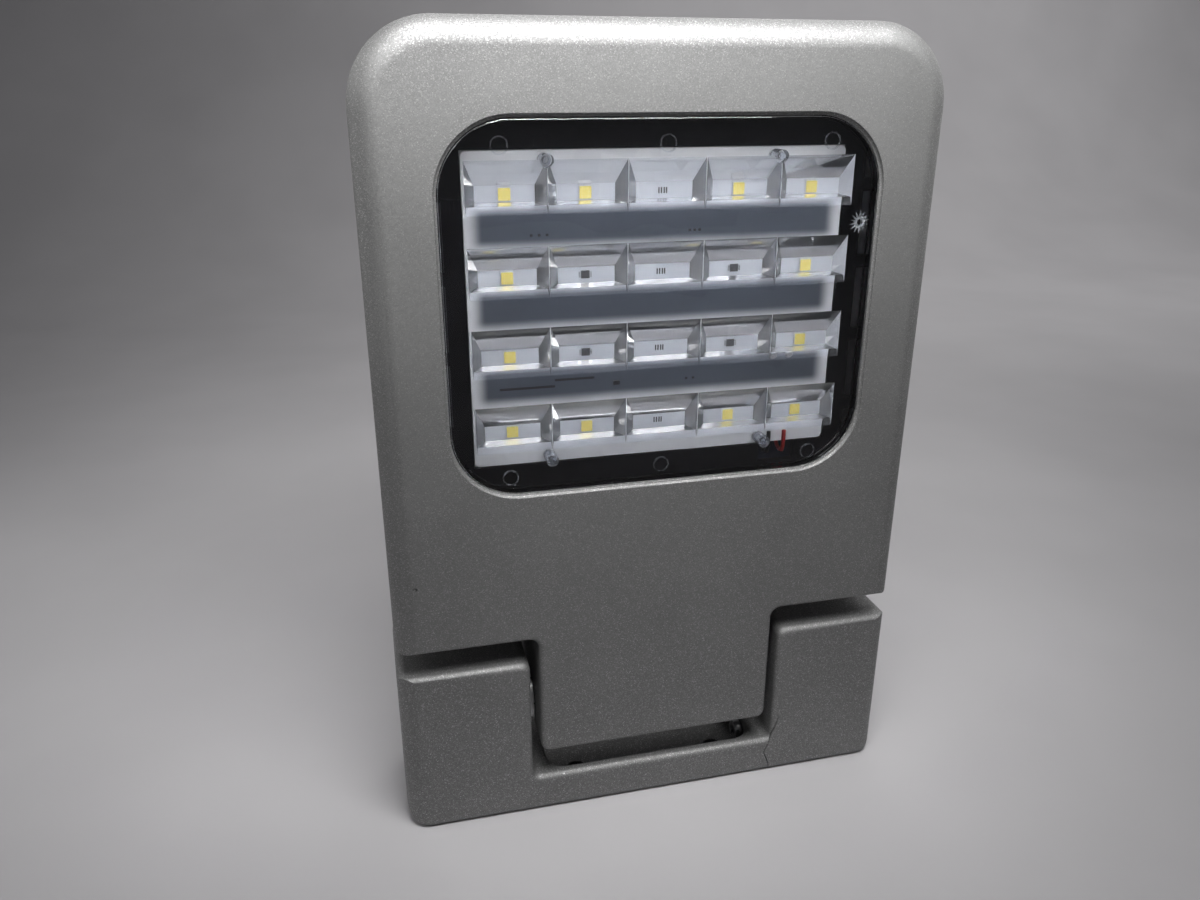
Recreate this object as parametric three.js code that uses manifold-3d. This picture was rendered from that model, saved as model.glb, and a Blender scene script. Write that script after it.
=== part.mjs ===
// A solar street lamp: a flat die-cast head that tilts in a two-arm yoke.
//
// Frame: millimetres, +Z up. The lamp stands on the flat base of its yoke, with the origin at the
// middle of that base. The window faces -Y and the solar panel faces +Y. The head tilts about an
// axis along X, through both arms of the yoke.

import * as THREE from "three";
import { mergeVertices } from "three/addons/utils/BufferGeometryUtils.js";
import Module from "manifold-3d";

const wasm = await Module();
wasm.setup();

// ---------- driving dimensions ----------

const DEPTH = 58; // front face of the lamp to its rear face
const FRONT = -DEPTH / 2;
const REAR = DEPTH / 2;
const GAP = 0.3; // left between two pieces that touch
const BEYOND = 400; // past every surface of the lamp

// Head casting
const HEAD_HALF = 112.5; // half the width
const HEAD_TOP = 330.5;
const HEAD_CORNER = 30; // the two upper corners, seen from the front
const FRONT_FILLET = 10;
const REAR_FILLET = 5;
const WALL = 3;
const SEAM = 11; // y of the joint between the front frame and the rear housing
const SEAM_WIDTH = 1.2; // shadow gap that the seal fills
const SEAL_INSET = 1; // the seal lies this far inside the outer surface
const SEAL_WIDTH = 1.8;
const NOTCH_Z = 89; // underside of the head above the yoke's arms
const NOTCH_CORNER = 4.5;
const TONGUE_HALF = 53;
const TONGUE_Z = 31; // lower end of the tongue
const TONGUE_CORNER = 4;
const TONGUE_BEVEL = 2.5;
const PINHOLE = { x: -102.5, z: 120, radius: 0.75, deep: 0.8 };

// Window aperture, seen from the front
const WINDOW_HALF = 85;
const WINDOW_LOW = 156.5;
const WINDOW_HIGH = 297.9;
const WINDOW_CORNER = 27;
const WINDOW_LIP = 1.2; // chamfer round the aperture

// Depths behind the front face
const LENS_FACE = 1.2;
const LENS_BACK = 4.6;
const FLANGE_FACE = 4.3;
const FLANGE_BACK = 6.3;
const OPTIC_TIP = 11;
const LED_TOP = 11.7;
const TRAY_FACE = 12.4;
const BOARD_FACE = 13;
const BOARD_BACK = 14.6;
const SPREADER_THICK = 3;

// Lens plate
const LENS_CLEARANCE = 0.5; // round the lens, inside the aperture
const FLANGE_REACH = 6; // beyond the aperture, and inside it

// Grid of optics and light sources
const COLUMNS = 5;
const ROWS = 4;
const PITCH_X = 30;
const PITCH_Z = 30.3;
const GRID_Z = 225.9; // middle of the light sources
const OPTIC_UP = 12.4; // wide end of an optic, above its light source
const OPTIC_DOWN = 7.8;
const TIP_HALF = 11; // narrow end of an optic
const TIP_UP = 3.3;
const TIP_DOWN = 2.9;
const LED_SIDE = 5;
const LED_SHOULDER = 0.6; // depth of the upright part of its case
const LED_CHAMFER = 0.35;

// Board
const BOARD_HALF = 75;
const BOARD_LOW = 165.5;
const BOARD_HIGH = 286.3;
const BOARD_CORNER = 2;
const BOARD_SCREW_X = 45;
const BOARD_SCREW_INSET = 3.2;
const BOARD_SCREW = { radius: 1.2, head: 2.4, headDeep: 1.3, length: 5 };

// Black tray round the board
const TRAY_REACH = 8; // beyond the window
const TRAY_RIM = 3; // width of the upstand that presses on the lens
const SLOT_INNER = 84;
const SLOT_OUTER = 91;
const SLOT_RIB = 5;
const SLOT_LOW = 166;
const SLOT_HIGH = 289;
const LEAD_NOTCH = { x0: 46, x1: 62, z0: 157, z1: BOARD_LOW + 1 };

// Heat spreader behind the board
const SPREADER_HALF = 90;
const SPREADER_LOW = 165;
const SPREADER_HIGH = 303;
const SPREADER_CORNER = 8;
const CLAMP_POST = { x: 82, low: 186, high: 290, radius: 4 };

// Solar panel, set flush into the rear face
const PANEL_HALF = 92;
const PANEL_LOW = 122;
const PANEL_HIGH = 302;
const PANEL_CORNER = 6;
const PANEL_FRAME = 5; // width and depth of the frame's section
const PANEL_GLASS = { face: 0.4, back: 2.4 }; // depths behind the rear face
const PANEL_SHEET = { face: 2.7, back: 3.9 };
const BED_WALL = 2;
const LEAD_HOLE = { x: 0, z: 172, radius: 4 };

// Battery: cells lying along X, two side by side and two high
const CELL_RADIUS = 16.2;
const CELL_LENGTH = 70;
const CELL_NIPPLE = { radius: 5.7, high: 1.2 };
const CELL_GAP = 1.2;
const CELL_Y = 3.6;
const CELL_LOW_Z = 111.5;
const HOLDER_WALL = 1.4;
const HOLDER_CLEARANCE = 0.4;
const HOLDER_LIP_Y = 4; // how far forward its upper and lower walls reach
const HOLDER_END_Y = -10;

// Charge controller board
const CONTROLLER = { half: 48, low: 192, high: 262, face: 0, back: 1.6, post: 3, postInset: 5 };
const INDUCTOR = { x: -20, z: 238, radius: 9, bore: 4, high: 9 };
const TERMINALS = { x0: 30, x1: 46, z0: 200, z1: 212, high: 9, first: 34, second: 42, entry: 1.3 };
const LEAD_RADIUS = 0.9;
const RED_PAD_X = 57; // where each lead ends on the light board
const BLACK_PAD_X = 50;
const PANEL_LEAD_RADIUS = 1.2;

// Push-button on the rear of the tongue
const BUTTON_Z = 68;
const BUTTON_RADIUS = 8;
const BUTTON = { sunk: 0.5, under: 3.6, flange: 1.6, flangeBack: 4.6, stem: 3, stemEnd: 9 };
const SWITCH = { half: 13, high: 7, base: 16, leg: 2, bridge: 4, plunger: 1.8, plungerEnd: 11 };
const BOOT_RADIUS = 11;
const BOOT_DEEP = 2;
const VENT = { x: 82, z: 106, radius: 6, stem: 3, stemEnd: 7 };

// Yoke
const YOKE_HALF = 113;
const ARM_INNER = 57; // inner face of each arm
const ARM_TOP = 77.5;
const YOKE_SIDE_FILLET = 10;
const YOKE_BEVEL = 3;
const ARM_CORNER = 4; // upper corners of the arms, seen from the front
const YOKE_FOOT_CORNER = 11;
const YOKE_WALL = 5;
const BAR_TOP = 17.7;
const BAR_CORNER = 3;
const BAR_FLOOR = 6;
const POCKET_HALF = 49;
const POCKET_CORNER = 9;
const JOINT_GAP = 0.4;
const JOINT = { inner: 53.6, outer: 56.4, lip: 60, kink: 3.5, step: 11, shoulder: 17, top: 30 };
const FIXING = { x: 34, y: 12, radius: 4.4 }; // bolt holes for the pole arm's flange
const JOINT_BOLT = { y: 10, z: 11.5, radius: 3, head: 4.5, headDeep: 3.4, socket: 2.4, end: 66 };

// Tilt hinge
const AXIS_Z = 44;
const BOLT = { radius: 5, head: 9, headDeep: 8, socket: 4.6, sunk: 1, end: 38.5 };
const HINGE_BOSS = 13;
const BUSH_RADIUS = 8;
const BUSH_LENGTH = 16;
const BUSH_WALL = 2.2; // metal of the head round and behind each bush
const WASHER_RADIUS = 14;
const RUNNING = 0.3; // clearance round a shank

// Cover screws: places on the rear face
const COVER_SCREWS = [
  [-26, 40.5], [26, 40.5], [-100, 106], [100, 106], [-102, 212], [102, 212], [-95, 313], [95, 313],
];
const COVER_SCREW = { radius: 2, head: 3.6, headDeep: 1.8, sunk: 0.4, end: -4 };
const BOSS_RADIUS = 5;

const ROUND = 24; // sides of a large round piece
const SMALL_ROUND = 12;
const FINE = { curveSegments: 6, bevelSegments: 4 }; // outer surfaces
const COARSE = { curveSegments: 4, bevelSegments: 2 }; // inner surfaces

// ---------- materials ----------

function finish(color, roughness, metalness) {
  return new THREE.MeshStandardMaterial({ color, roughness, metalness });
}

const silver = finish(0x9c9c9a, 0.45, 0.6);
const blackPlastic = finish(0x1b1c20, 0.5, 0);
const rubber = finish(0x141416, 0.8, 0);
const clear = finish(0xe6e8f0, 0.1, 0);
const whiteBoard = finish(0xe2e4e8, 0.5, 0);
const phosphor = finish(0xf6d84a, 0.4, 0);
const aluminium = finish(0x8b8d90, 0.4, 0.9);
const steel = finish(0xb4b6b8, 0.3, 1);
const cellWrap = finish(0x2a6ca8, 0.4, 0);
const greenBoard = finish(0x1f5a3a, 0.5, 0);
const ferrite = finish(0x35363a, 0.6, 0);
const redSleeve = finish(0xa81c1c, 0.5, 0);
const blackSleeve = finish(0x17171a, 0.5, 0);
const solarCells = finish(0x0e1830, 0.25, 0.2);
const glass = finish(0x2a3448, 0.05, 0);

// ---------- solids ----------

// A closed mesh as a manifold solid: only positions, with shared corners merged.
function solid(geometry) {
  geometry.deleteAttribute("normal");
  geometry.deleteAttribute("uv");
  const merged = mergeVertices(geometry, 1e-4);
  return new wasm.Manifold(new wasm.Mesh({
    numProp: 3,
    vertProperties: new Float32Array(merged.attributes.position.array),
    triVerts: new Uint32Array(merged.index.array),
  }));
}

function geometryOf(shape) {
  const mesh = shape.getMesh();
  const geometry = new THREE.BufferGeometry();
  geometry.setAttribute("position", new THREE.BufferAttribute(mesh.vertProperties, 3));
  geometry.setIndex(new THREE.BufferAttribute(mesh.triVerts, 1));
  geometry.computeVertexNormals();
  return geometry;
}

function roundedRectangle(x0, y0, x1, y1, radius) {
  const quarter = Math.PI / 2;
  const shape = new THREE.Shape();
  shape.absarc(x1 - radius, y0 + radius, radius, -quarter, 0);
  shape.absarc(x1 - radius, y1 - radius, radius, 0, quarter);
  shape.absarc(x0 + radius, y1 - radius, radius, quarter, 2 * quarter);
  shape.absarc(x0 + radius, y0 + radius, radius, 2 * quarter, 3 * quarter);
  return shape;
}

function polygon(points) {
  return new THREE.Shape(points.map(([x, y]) => new THREE.Vector2(x, y)));
}

// A front-view outline (x, z) as a slab from y0 to y1, with a bevel rounding both of its rims.
function slab(shape, y0, y1, { bevel = 0, curveSegments = 4, bevelSegments = 1 } = {}) {
  const geometry = new THREE.ExtrudeGeometry(shape, {
    depth: y1 - y0 - 2 * bevel,
    curveSegments,
    bevelEnabled: bevel > 0,
    bevelThickness: bevel,
    bevelSize: bevel,
    bevelOffset: -bevel,
    bevelSegments,
  });
  geometry.rotateX(Math.PI / 2);
  geometry.translate(0, y1 - bevel, 0);
  return solid(geometry);
}

// A plan-view outline (x, y) as a column from z0 to z1.
function column(shape, z0, z1) {
  const options = { depth: z1 - z0, curveSegments: 5, bevelEnabled: false };
  const geometry = new THREE.ExtrudeGeometry(shape, options);
  geometry.translate(0, 0, z0);
  return solid(geometry);
}

function box(x0, x1, y0, y1, z0, z1) {
  const geometry = new THREE.BoxGeometry(x1 - x0, y1 - y0, z1 - z0);
  geometry.translate((x0 + x1) / 2, (y0 + y1) / 2, (z0 + z1) / 2);
  return solid(geometry);
}

function rodAlongX(radius, xa, xb, y, z, sides = ROUND) {
  const geometry = new THREE.CylinderGeometry(radius, radius, Math.abs(xb - xa), sides);
  geometry.rotateZ(Math.PI / 2);
  geometry.translate((xa + xb) / 2, y, z);
  return solid(geometry);
}

function rodAlongY(radius, x, y0, y1, z, sides = SMALL_ROUND) {
  const geometry = new THREE.CylinderGeometry(radius, radius, y1 - y0, sides);
  geometry.translate(x, (y0 + y1) / 2, z);
  return solid(geometry);
}

function rodAlongZ(radius, x, y, z0, z1, sides = SMALL_ROUND) {
  const geometry = new THREE.CylinderGeometry(radius, radius, z1 - z0, sides);
  geometry.rotateX(Math.PI / 2);
  geometry.translate(x, y, (z0 + z1) / 2);
  return solid(geometry);
}

// A round wire along a smooth curve through the given points.
function wire(points, radius) {
  const path = new THREE.CatmullRomCurve3(points.map(([x, y, z]) => new THREE.Vector3(x, y, z)));
  const section = new THREE.Shape();
  section.absarc(0, 0, radius, 0, Math.PI * 2);
  const geometry = new THREE.ExtrudeGeometry(section, { steps: 20, curveSegments: 4, extrudePath: path });
  return solid(geometry);
}

const lamp = new THREE.Group();
const head = new THREE.Group();
const yoke = new THREE.Group();
lamp.add(head, yoke);

function addPiece(group, name, shape, material) {
  const mesh = new THREE.Mesh(geometryOf(shape), material);
  mesh.name = name;
  group.add(mesh);
  return mesh;
}

// ---------- outlines of the head ----------

// The head without its notches. It runs on below the tongue, where the other outline ends it.
function headPlan(inset) {
  const half = HEAD_HALF - inset;
  const below = -60;
  return roundedRectangle(-half, below, half, HEAD_TOP - inset, HEAD_CORNER - inset);
}

// The underside: a tongue between two notches that clear the yoke's arms.
function tonguePlan(inset) {
  const quarter = Math.PI / 2;
  const half = TONGUE_HALF - inset;
  const notch = NOTCH_Z + inset;
  const inner = NOTCH_CORNER + inset;
  const outer = Math.max(TONGUE_CORNER - inset, 2);
  const low = TONGUE_Z + inset;
  const shape = new THREE.Shape();
  shape.absarc(-half - inner, notch - inner, inner, quarter, 0, true);
  shape.absarc(-half + outer, low + outer, outer, 2 * quarter, 3 * quarter);
  shape.absarc(half - outer, low + outer, outer, -quarter, 0);
  shape.absarc(half + inner, notch - inner, inner, 2 * quarter, quarter, true);
  shape.lineTo(BEYOND, notch);
  shape.lineTo(BEYOND, BEYOND);
  shape.lineTo(-BEYOND, BEYOND);
  shape.lineTo(-BEYOND, notch);
  return shape;
}

// The head between y0 and y1, cut square.
function headSlice(y0, y1, inset = 0, fineness = COARSE) {
  return slab(headPlan(inset), y0, y1, fineness).intersect(slab(tonguePlan(inset), y0, y1, fineness));
}

// The head with both rims rounded: the large fillet on its sides, a small one round the tongue.
function roundedHead(y0, y1, fillet, inset, fineness) {
  const small = Math.max(TONGUE_BEVEL - inset / 2, 1);
  const sides = slab(headPlan(inset), y0, y1, { ...fineness, bevel: fillet - inset });
  return sides.intersect(slab(tonguePlan(inset), y0, y1, { ...COARSE, bevel: small }));
}

function windowPlan(grow) {
  return roundedRectangle(-WINDOW_HALF - grow, WINDOW_LOW - grow, WINDOW_HALF + grow, WINDOW_HIGH + grow,
    WINDOW_CORNER + grow);
}

function panelPlan(grow) {
  return roundedRectangle(-PANEL_HALF - grow, PANEL_LOW - grow, PANEL_HALF + grow, PANEL_HIGH + grow,
    Math.max(PANEL_CORNER + grow, 1));
}

// ---------- head castings ----------

const SEAM_FRONT = SEAM - SEAM_WIDTH / 2;
const SEAM_REAR = SEAM + SEAM_WIDTH / 2;
const PAST_SEAM = 40; // how far a casting's shape runs on before it is cut off at the seam

function frontFrame() {
  const outside = roundedHead(FRONT, SEAM + PAST_SEAM, FRONT_FILLET, 0, FINE)
    .intersect(box(-BEYOND, BEYOND, FRONT - 1, SEAM_FRONT, 0, BEYOND));
  const inside = roundedHead(FRONT + WALL, SEAM + PAST_SEAM, FRONT_FILLET, WALL, COARSE);
  let frame = outside.subtract(inside);
  for (const [x, z] of COVER_SCREWS) {
    frame = frame.add(rodAlongY(BOSS_RADIUS, x, FRONT + WALL - 1, SEAM_FRONT, z).intersect(outside));
  }
  for (const side of [-1, 1]) {
    const bushEnd = side * (TONGUE_HALF - BUSH_LENGTH);
    const bossEnd = bushEnd - side * BUSH_WALL;
    frame = frame.add(rodAlongX(BUSH_RADIUS + BUSH_WALL, bossEnd, side * (TONGUE_HALF - 1), 0, AXIS_Z));
    frame = frame.subtract(rodAlongX(BUSH_RADIUS + GAP, bushEnd, side * (TONGUE_HALF + 1), 0, AXIS_Z));
    frame = frame.subtract(rodAlongX(BOLT.radius + RUNNING, bushEnd - side * 5, bushEnd + side, 0, AXIS_Z));
  }
  for (const [x, z] of COVER_SCREWS) {
    const deep = COVER_SCREW.end - 1;
    frame = frame.subtract(rodAlongY(COVER_SCREW.radius + RUNNING, x, deep, SEAM, z));
  }
  const aperture = slab(windowPlan(0), FRONT - 1, FRONT + WALL + 1, { curveSegments: 8 });
  const lipEnd = FRONT + WINDOW_LIP;
  const lip = slab(windowPlan(WINDOW_LIP), lipEnd - 20, lipEnd, { bevel: WINDOW_LIP, curveSegments: 8 });
  const pinhole = rodAlongY(PINHOLE.radius, PINHOLE.x, FRONT - 1, FRONT + PINHOLE.deep, PINHOLE.z, 10);
  return frame.subtract(aperture).subtract(lip).subtract(pinhole);
}

function rearHousing() {
  const outside = roundedHead(SEAM - PAST_SEAM, REAR, REAR_FILLET, 0, FINE)
    .intersect(box(-BEYOND, BEYOND, SEAM_REAR, REAR + 1, 0, BEYOND));
  const inside = roundedHead(SEAM - PAST_SEAM, REAR - WALL, REAR_FILLET, WALL, COARSE);
  const bed = REAR - PANEL_FRAME - GAP;
  const bedBack = bed - BED_WALL;
  let housing = outside.subtract(inside);
  housing = housing.add(slab(panelPlan(WALL), bedBack, REAR - 1));
  for (const [x, z] of COVER_SCREWS) {
    housing = housing.add(rodAlongY(BOSS_RADIUS, x, SEAM_REAR, REAR - 1, z).intersect(outside));
  }
  const spreaderBack = FRONT + BOARD_BACK + GAP + SPREADER_THICK + GAP;
  for (const side of [-1, 1]) {
    for (const z of [CLAMP_POST.low, CLAMP_POST.high]) {
      housing = housing.add(rodAlongY(CLAMP_POST.radius, side * CLAMP_POST.x, spreaderBack, bedBack + 1, z));
    }
    for (const z of controllerPostHeights()) {
      const x = side * controllerPostX();
      housing = housing.add(rodAlongY(CONTROLLER.post, x, CONTROLLER.back + GAP, bedBack + 1, z));
    }
  }
  housing = housing.subtract(slab(panelPlan(GAP), bed, REAR + 5));
  housing = housing.subtract(rodAlongY(LEAD_HOLE.radius, LEAD_HOLE.x, bedBack - 1, bed + 1, LEAD_HOLE.z));
  for (const [x, z] of COVER_SCREWS) {
    const seat = REAR - COVER_SCREW.sunk - COVER_SCREW.headDeep - GAP;
    housing = housing.subtract(rodAlongY(COVER_SCREW.radius + RUNNING, x, SEAM, REAR + 1, z));
    housing = housing.subtract(rodAlongY(COVER_SCREW.head + RUNNING, x, seat, REAR + 1, z));
  }
  housing = housing.subtract(rodAlongY(BUTTON_RADIUS + GAP, 0, REAR - WALL - 1, REAR + 1, BUTTON_Z, ROUND));
  housing = housing.subtract(rodAlongY(BOOT_RADIUS + GAP, 0, REAR - BOOT_DEEP, REAR + 1, BUTTON_Z, ROUND));
  housing = housing.subtract(rodAlongY(VENT.stem + GAP, VENT.x, REAR - WALL - 1, REAR + 1, VENT.z));
  return housing.subtract(rodAlongY(VENT.radius + GAP, VENT.x, REAR - BOOT_DEEP, REAR + 1, VENT.z, 24));
}

function housingSeal() {
  const y0 = SEAM_FRONT + GAP;
  const y1 = SEAM_REAR - GAP;
  const inner = headSlice(y0 - 1, y1 + 1, SEAL_INSET + SEAL_WIDTH);
  return headSlice(y0, y1, SEAL_INSET).subtract(inner);
}

// A screw or bolt pointing along -Y, with a hexagonal socket in its head.
function screwAlongY(x, z, headTop, size, end) {
  const under = headTop - size.headDeep;
  const shank = rodAlongY(size.radius, x, end, under + 0.5, z);
  const cap = rodAlongY(size.head, x, under, headTop, z);
  const socket = rodAlongY(size.head * 0.5, x, headTop - size.headDeep * 0.6, headTop + 1, z, 6);
  return shank.add(cap).subtract(socket);
}

// ---------- lens, gasket and tray ----------

function windowGasket() {
  const y0 = FRONT + WALL + GAP;
  const y1 = FRONT + FLANGE_FACE - GAP;
  return slab(windowPlan(FLANGE_REACH - 0.5), y0, y1).subtract(slab(windowPlan(1), y0 - 1, y1 + 1));
}

// A block that tapers from one rectangle to a smaller one behind it.
function taperedBlock(wide, narrow, y0, y1) {
  const geometry = new THREE.BoxGeometry(1, 1, 1);
  const position = geometry.attributes.position;
  for (let i = 0; i < position.count; i += 1) {
    const atBack = position.getY(i) > 0;
    const size = atBack ? narrow : wide;
    const x = position.getX(i) > 0 ? size.x1 : size.x0;
    const z = position.getZ(i) > 0 ? size.z1 : size.z0;
    position.setXYZ(i, x, atBack ? y1 : y0, z);
  }
  return solid(geometry);
}

function columnX(column) {
  return (column - (COLUMNS - 1) / 2) * PITCH_X;
}

function rowZ(row) {
  return GRID_Z + ((ROWS - 1) / 2 - row) * PITCH_Z;
}

function optic(x, z) {
  const halfPitch = PITCH_X / 2;
  const wide = { x0: x - halfPitch, x1: x + halfPitch, z0: z - OPTIC_DOWN, z1: z + OPTIC_UP };
  const narrow = { x0: x - TIP_HALF, x1: x + TIP_HALF, z0: z - TIP_DOWN, z1: z + TIP_UP };
  return taperedBlock(wide, narrow, FRONT + LENS_BACK - 0.2, FRONT + OPTIC_TIP);
}

function lensPlate() {
  let lens = slab(windowPlan(-LENS_CLEARANCE), FRONT + LENS_FACE, FRONT + LENS_BACK, { curveSegments: 8 });
  const flange = slab(windowPlan(FLANGE_REACH), FRONT + FLANGE_FACE, FRONT + FLANGE_BACK);
  const inside = slab(windowPlan(-FLANGE_REACH), FRONT, FRONT + FLANGE_BACK + 1);
  lens = lens.add(flange.subtract(inside));
  for (let row = 0; row < ROWS; row += 1) {
    for (let column = 0; column < COLUMNS; column += 1) {
      lens = lens.add(optic(columnX(column), rowZ(row)));
    }
  }
  return lens;
}

// Slots in the tray's side borders, with a rib level with each row of light sources.
function traySlots() {
  const edges = [SLOT_HIGH];
  for (let row = 0; row < ROWS; row += 1) {
    edges.push(rowZ(row) + SLOT_RIB / 2, rowZ(row) - SLOT_RIB / 2);
  }
  edges.push(SLOT_LOW);
  const slots = [];
  for (let i = 0; i < edges.length; i += 2) {
    slots.push({ z0: edges[i + 1], z1: edges[i] });
  }
  return slots;
}

function lightTray() {
  const face = FRONT + TRAY_FACE;
  const back = FRONT + BOARD_BACK;
  const rimFace = FRONT + FLANGE_BACK + GAP;
  const rim = slab(windowPlan(TRAY_REACH), rimFace, back)
    .subtract(slab(windowPlan(TRAY_REACH - TRAY_RIM), rimFace - 1, face));
  const hole = box(-BOARD_HALF - GAP, BOARD_HALF + GAP, rimFace, back + 1, BOARD_LOW - GAP, BOARD_HIGH + GAP);
  let tray = rim.subtract(hole);
  for (const { z0, z1 } of traySlots()) {
    for (const side of [-1, 1]) {
      const x0 = Math.min(side * SLOT_INNER, side * SLOT_OUTER);
      tray = tray.subtract(box(x0, x0 + SLOT_OUTER - SLOT_INNER, rimFace, back + 1, z0, z1));
    }
  }
  const notch = LEAD_NOTCH;
  return tray.subtract(box(notch.x0, notch.x1, rimFace, back + 1, notch.z0, notch.z1));
}

// ---------- light board ----------

function boardScrewPlaces() {
  const low = BOARD_LOW + BOARD_SCREW_INSET;
  const high = BOARD_HIGH - BOARD_SCREW_INSET;
  return [[-BOARD_SCREW_X, high], [BOARD_SCREW_X, high], [-BOARD_SCREW_X, low], [BOARD_SCREW_X, low]];
}

function withScrewHoles(shape, y0, y1) {
  let drilled = shape;
  for (const [x, z] of boardScrewPlaces()) {
    drilled = drilled.subtract(rodAlongY(BOARD_SCREW.radius + RUNNING, x, y0 - 1, y1 + 1, z));
  }
  return drilled;
}

function ledBoard() {
  const y0 = FRONT + BOARD_FACE;
  const y1 = FRONT + BOARD_BACK;
  const plan = roundedRectangle(-BOARD_HALF, BOARD_LOW, BOARD_HALF, BOARD_HIGH, BOARD_CORNER);
  return withScrewHoles(slab(plan, y0, y1, { curveSegments: 4 }), y0, y1);
}

// A light source sits in every place of the outer columns, and in the next ones in the end rows.
function hasLed(row, column) {
  const outerColumn = column === 0 || column === COLUMNS - 1;
  const middleColumn = column === (COLUMNS - 1) / 2;
  const endRow = row === 0 || row === ROWS - 1;
  return outerColumn || (endRow && !middleColumn);
}

function ledPackage() {
  const half = LED_SIDE / 2;
  const base = FRONT + BOARD_FACE - GAP;
  const shoulder = base - LED_SHOULDER;
  const chamfer = LED_CHAMFER;
  const body = box(-half, half, shoulder, base, -half, half);
  const top = { x0: -half + chamfer, x1: half - chamfer, z0: -half + chamfer, z1: half - chamfer };
  const foot = { x0: -half, x1: half, z0: -half, z1: half };
  return body.add(taperedBlock(top, foot, FRONT + LED_TOP, shoulder + 0.1));
}

function heatSpreader() {
  const y0 = FRONT + BOARD_BACK + GAP;
  const y1 = y0 + SPREADER_THICK;
  const plan = roundedRectangle(-SPREADER_HALF, SPREADER_LOW, SPREADER_HALF, SPREADER_HIGH, SPREADER_CORNER);
  return withScrewHoles(slab(plan, y0, y1, { curveSegments: 4 }), y0, y1);
}

function boardScrew([x, z]) {
  const under = FRONT + BOARD_FACE - GAP;
  const shank = rodAlongY(BOARD_SCREW.radius, x, under - 0.5, under + BOARD_SCREW.length, z);
  const cap = rodAlongY(BOARD_SCREW.head, x, under - BOARD_SCREW.headDeep, under, z);
  const socket = rodAlongY(BOARD_SCREW.head * 0.5, x, under - BOARD_SCREW.headDeep - 1, under - 0.5, z, 6);
  return shank.add(cap).subtract(socket);
}

// ---------- battery and electronics ----------

function cellPlaces() {
  const x = CELL_LENGTH / 2 + CELL_GAP / 2;
  const high = CELL_LOW_Z + 2 * CELL_RADIUS + CELL_GAP;
  return [[-x, CELL_LOW_Z], [x, CELL_LOW_Z], [-x, high], [x, high]];
}

function batteryCell() {
  const half = CELL_LENGTH / 2;
  const shoulder = half - CELL_NIPPLE.high;
  const can = rodAlongX(CELL_RADIUS, -half, shoulder, 0, 0);
  return can.add(rodAlongX(CELL_NIPPLE.radius, shoulder - 1, half, 0, 0, SMALL_ROUND));
}

function batteryHolder() {
  const inX = CELL_LENGTH + CELL_GAP / 2 + HOLDER_CLEARANCE;
  const lowZ = CELL_LOW_Z - CELL_RADIUS - HOLDER_CLEARANCE;
  const highZ = CELL_LOW_Z + 3 * CELL_RADIUS + CELL_GAP + HOLDER_CLEARANCE;
  const backY = CELL_Y + CELL_RADIUS + HOLDER_CLEARANCE;
  const wall = HOLDER_WALL;
  const block = box(-inX - wall, inX + wall, HOLDER_END_Y, backY + wall, lowZ - wall, highZ + wall);
  const inside = box(-inX, inX, HOLDER_END_Y - 1, backY, lowZ, highZ);
  const open = box(-inX, inX, HOLDER_END_Y - 1, HOLDER_LIP_Y, lowZ - wall - 1, highZ + wall + 1);
  return block.subtract(inside).subtract(open);
}

function controllerPostX() {
  return CONTROLLER.half - CONTROLLER.postInset;
}

function controllerPostHeights() {
  return [CONTROLLER.low + CONTROLLER.postInset, CONTROLLER.high - CONTROLLER.postInset];
}

function controllerBoard() {
  const { half, low, high, face, back } = CONTROLLER;
  return slab(roundedRectangle(-half, low, half, high, 2), face, back, { curveSegments: 3 });
}

function controllerInductor() {
  const { x, z, radius, bore, high } = INDUCTOR;
  const face = CONTROLLER.face - GAP;
  const coil = rodAlongY(radius, x, face - high, face, z, 20);
  return coil.subtract(rodAlongY(bore, x, face - high - 1, face + 1, z, 12));
}

function terminalBlock() {
  const { x0, x1, z0, z1, high, first, second, entry } = TERMINALS;
  const face = CONTROLLER.face - GAP;
  let block = box(x0, x1, face - high, face, z0, z1);
  for (const x of [first, second]) {
    block = block.subtract(rodAlongZ(entry, x, face - high / 2, z0 - 2, z0 + 6));
  }
  return block;
}

// A lead runs from the terminal block, under the heat spreader and up onto the light board.
function ledLead(terminalX, boardX) {
  const face = CONTROLLER.face - GAP - TERMINALS.high / 2;
  const onBoard = FRONT + BOARD_FACE - GAP - LEAD_RADIUS;
  return wire([
    [terminalX, face, 204],
    [terminalX, face, 196],
    [(terminalX + boardX) / 2, -6.5, 180],
    [boardX, -7.5, 166],
    [boardX, -12, 160.8],
    [boardX, onBoard + 0.6, 161.4],
    [boardX, onBoard, 165.5],
    [boardX, onBoard, 170.5],
  ], LEAD_RADIUS);
}

function panelLead() {
  const onController = CONTROLLER.face - GAP - PANEL_LEAD_RADIUS;
  return wire([
    [LEAD_HOLE.x, REAR - PANEL_SHEET.back - GAP, LEAD_HOLE.z],
    [LEAD_HOLE.x, 18, LEAD_HOLE.z],
    [2, 10, 174],
    [5, 3, 182],
    [6, onController, 188],
    [6, onController, 198],
  ], PANEL_LEAD_RADIUS);
}

// ---------- solar panel ----------

function panelFrame() {
  return slab(panelPlan(0), REAR - PANEL_FRAME, REAR).subtract(
    slab(panelPlan(-PANEL_FRAME), REAR - PANEL_FRAME - 1, REAR + 1, { curveSegments: 3 }));
}

function panelLayer({ face, back }) {
  return slab(panelPlan(-PANEL_FRAME - GAP), REAR - back, REAR - face, { curveSegments: 3 });
}

// ---------- button and vent ----------

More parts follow.
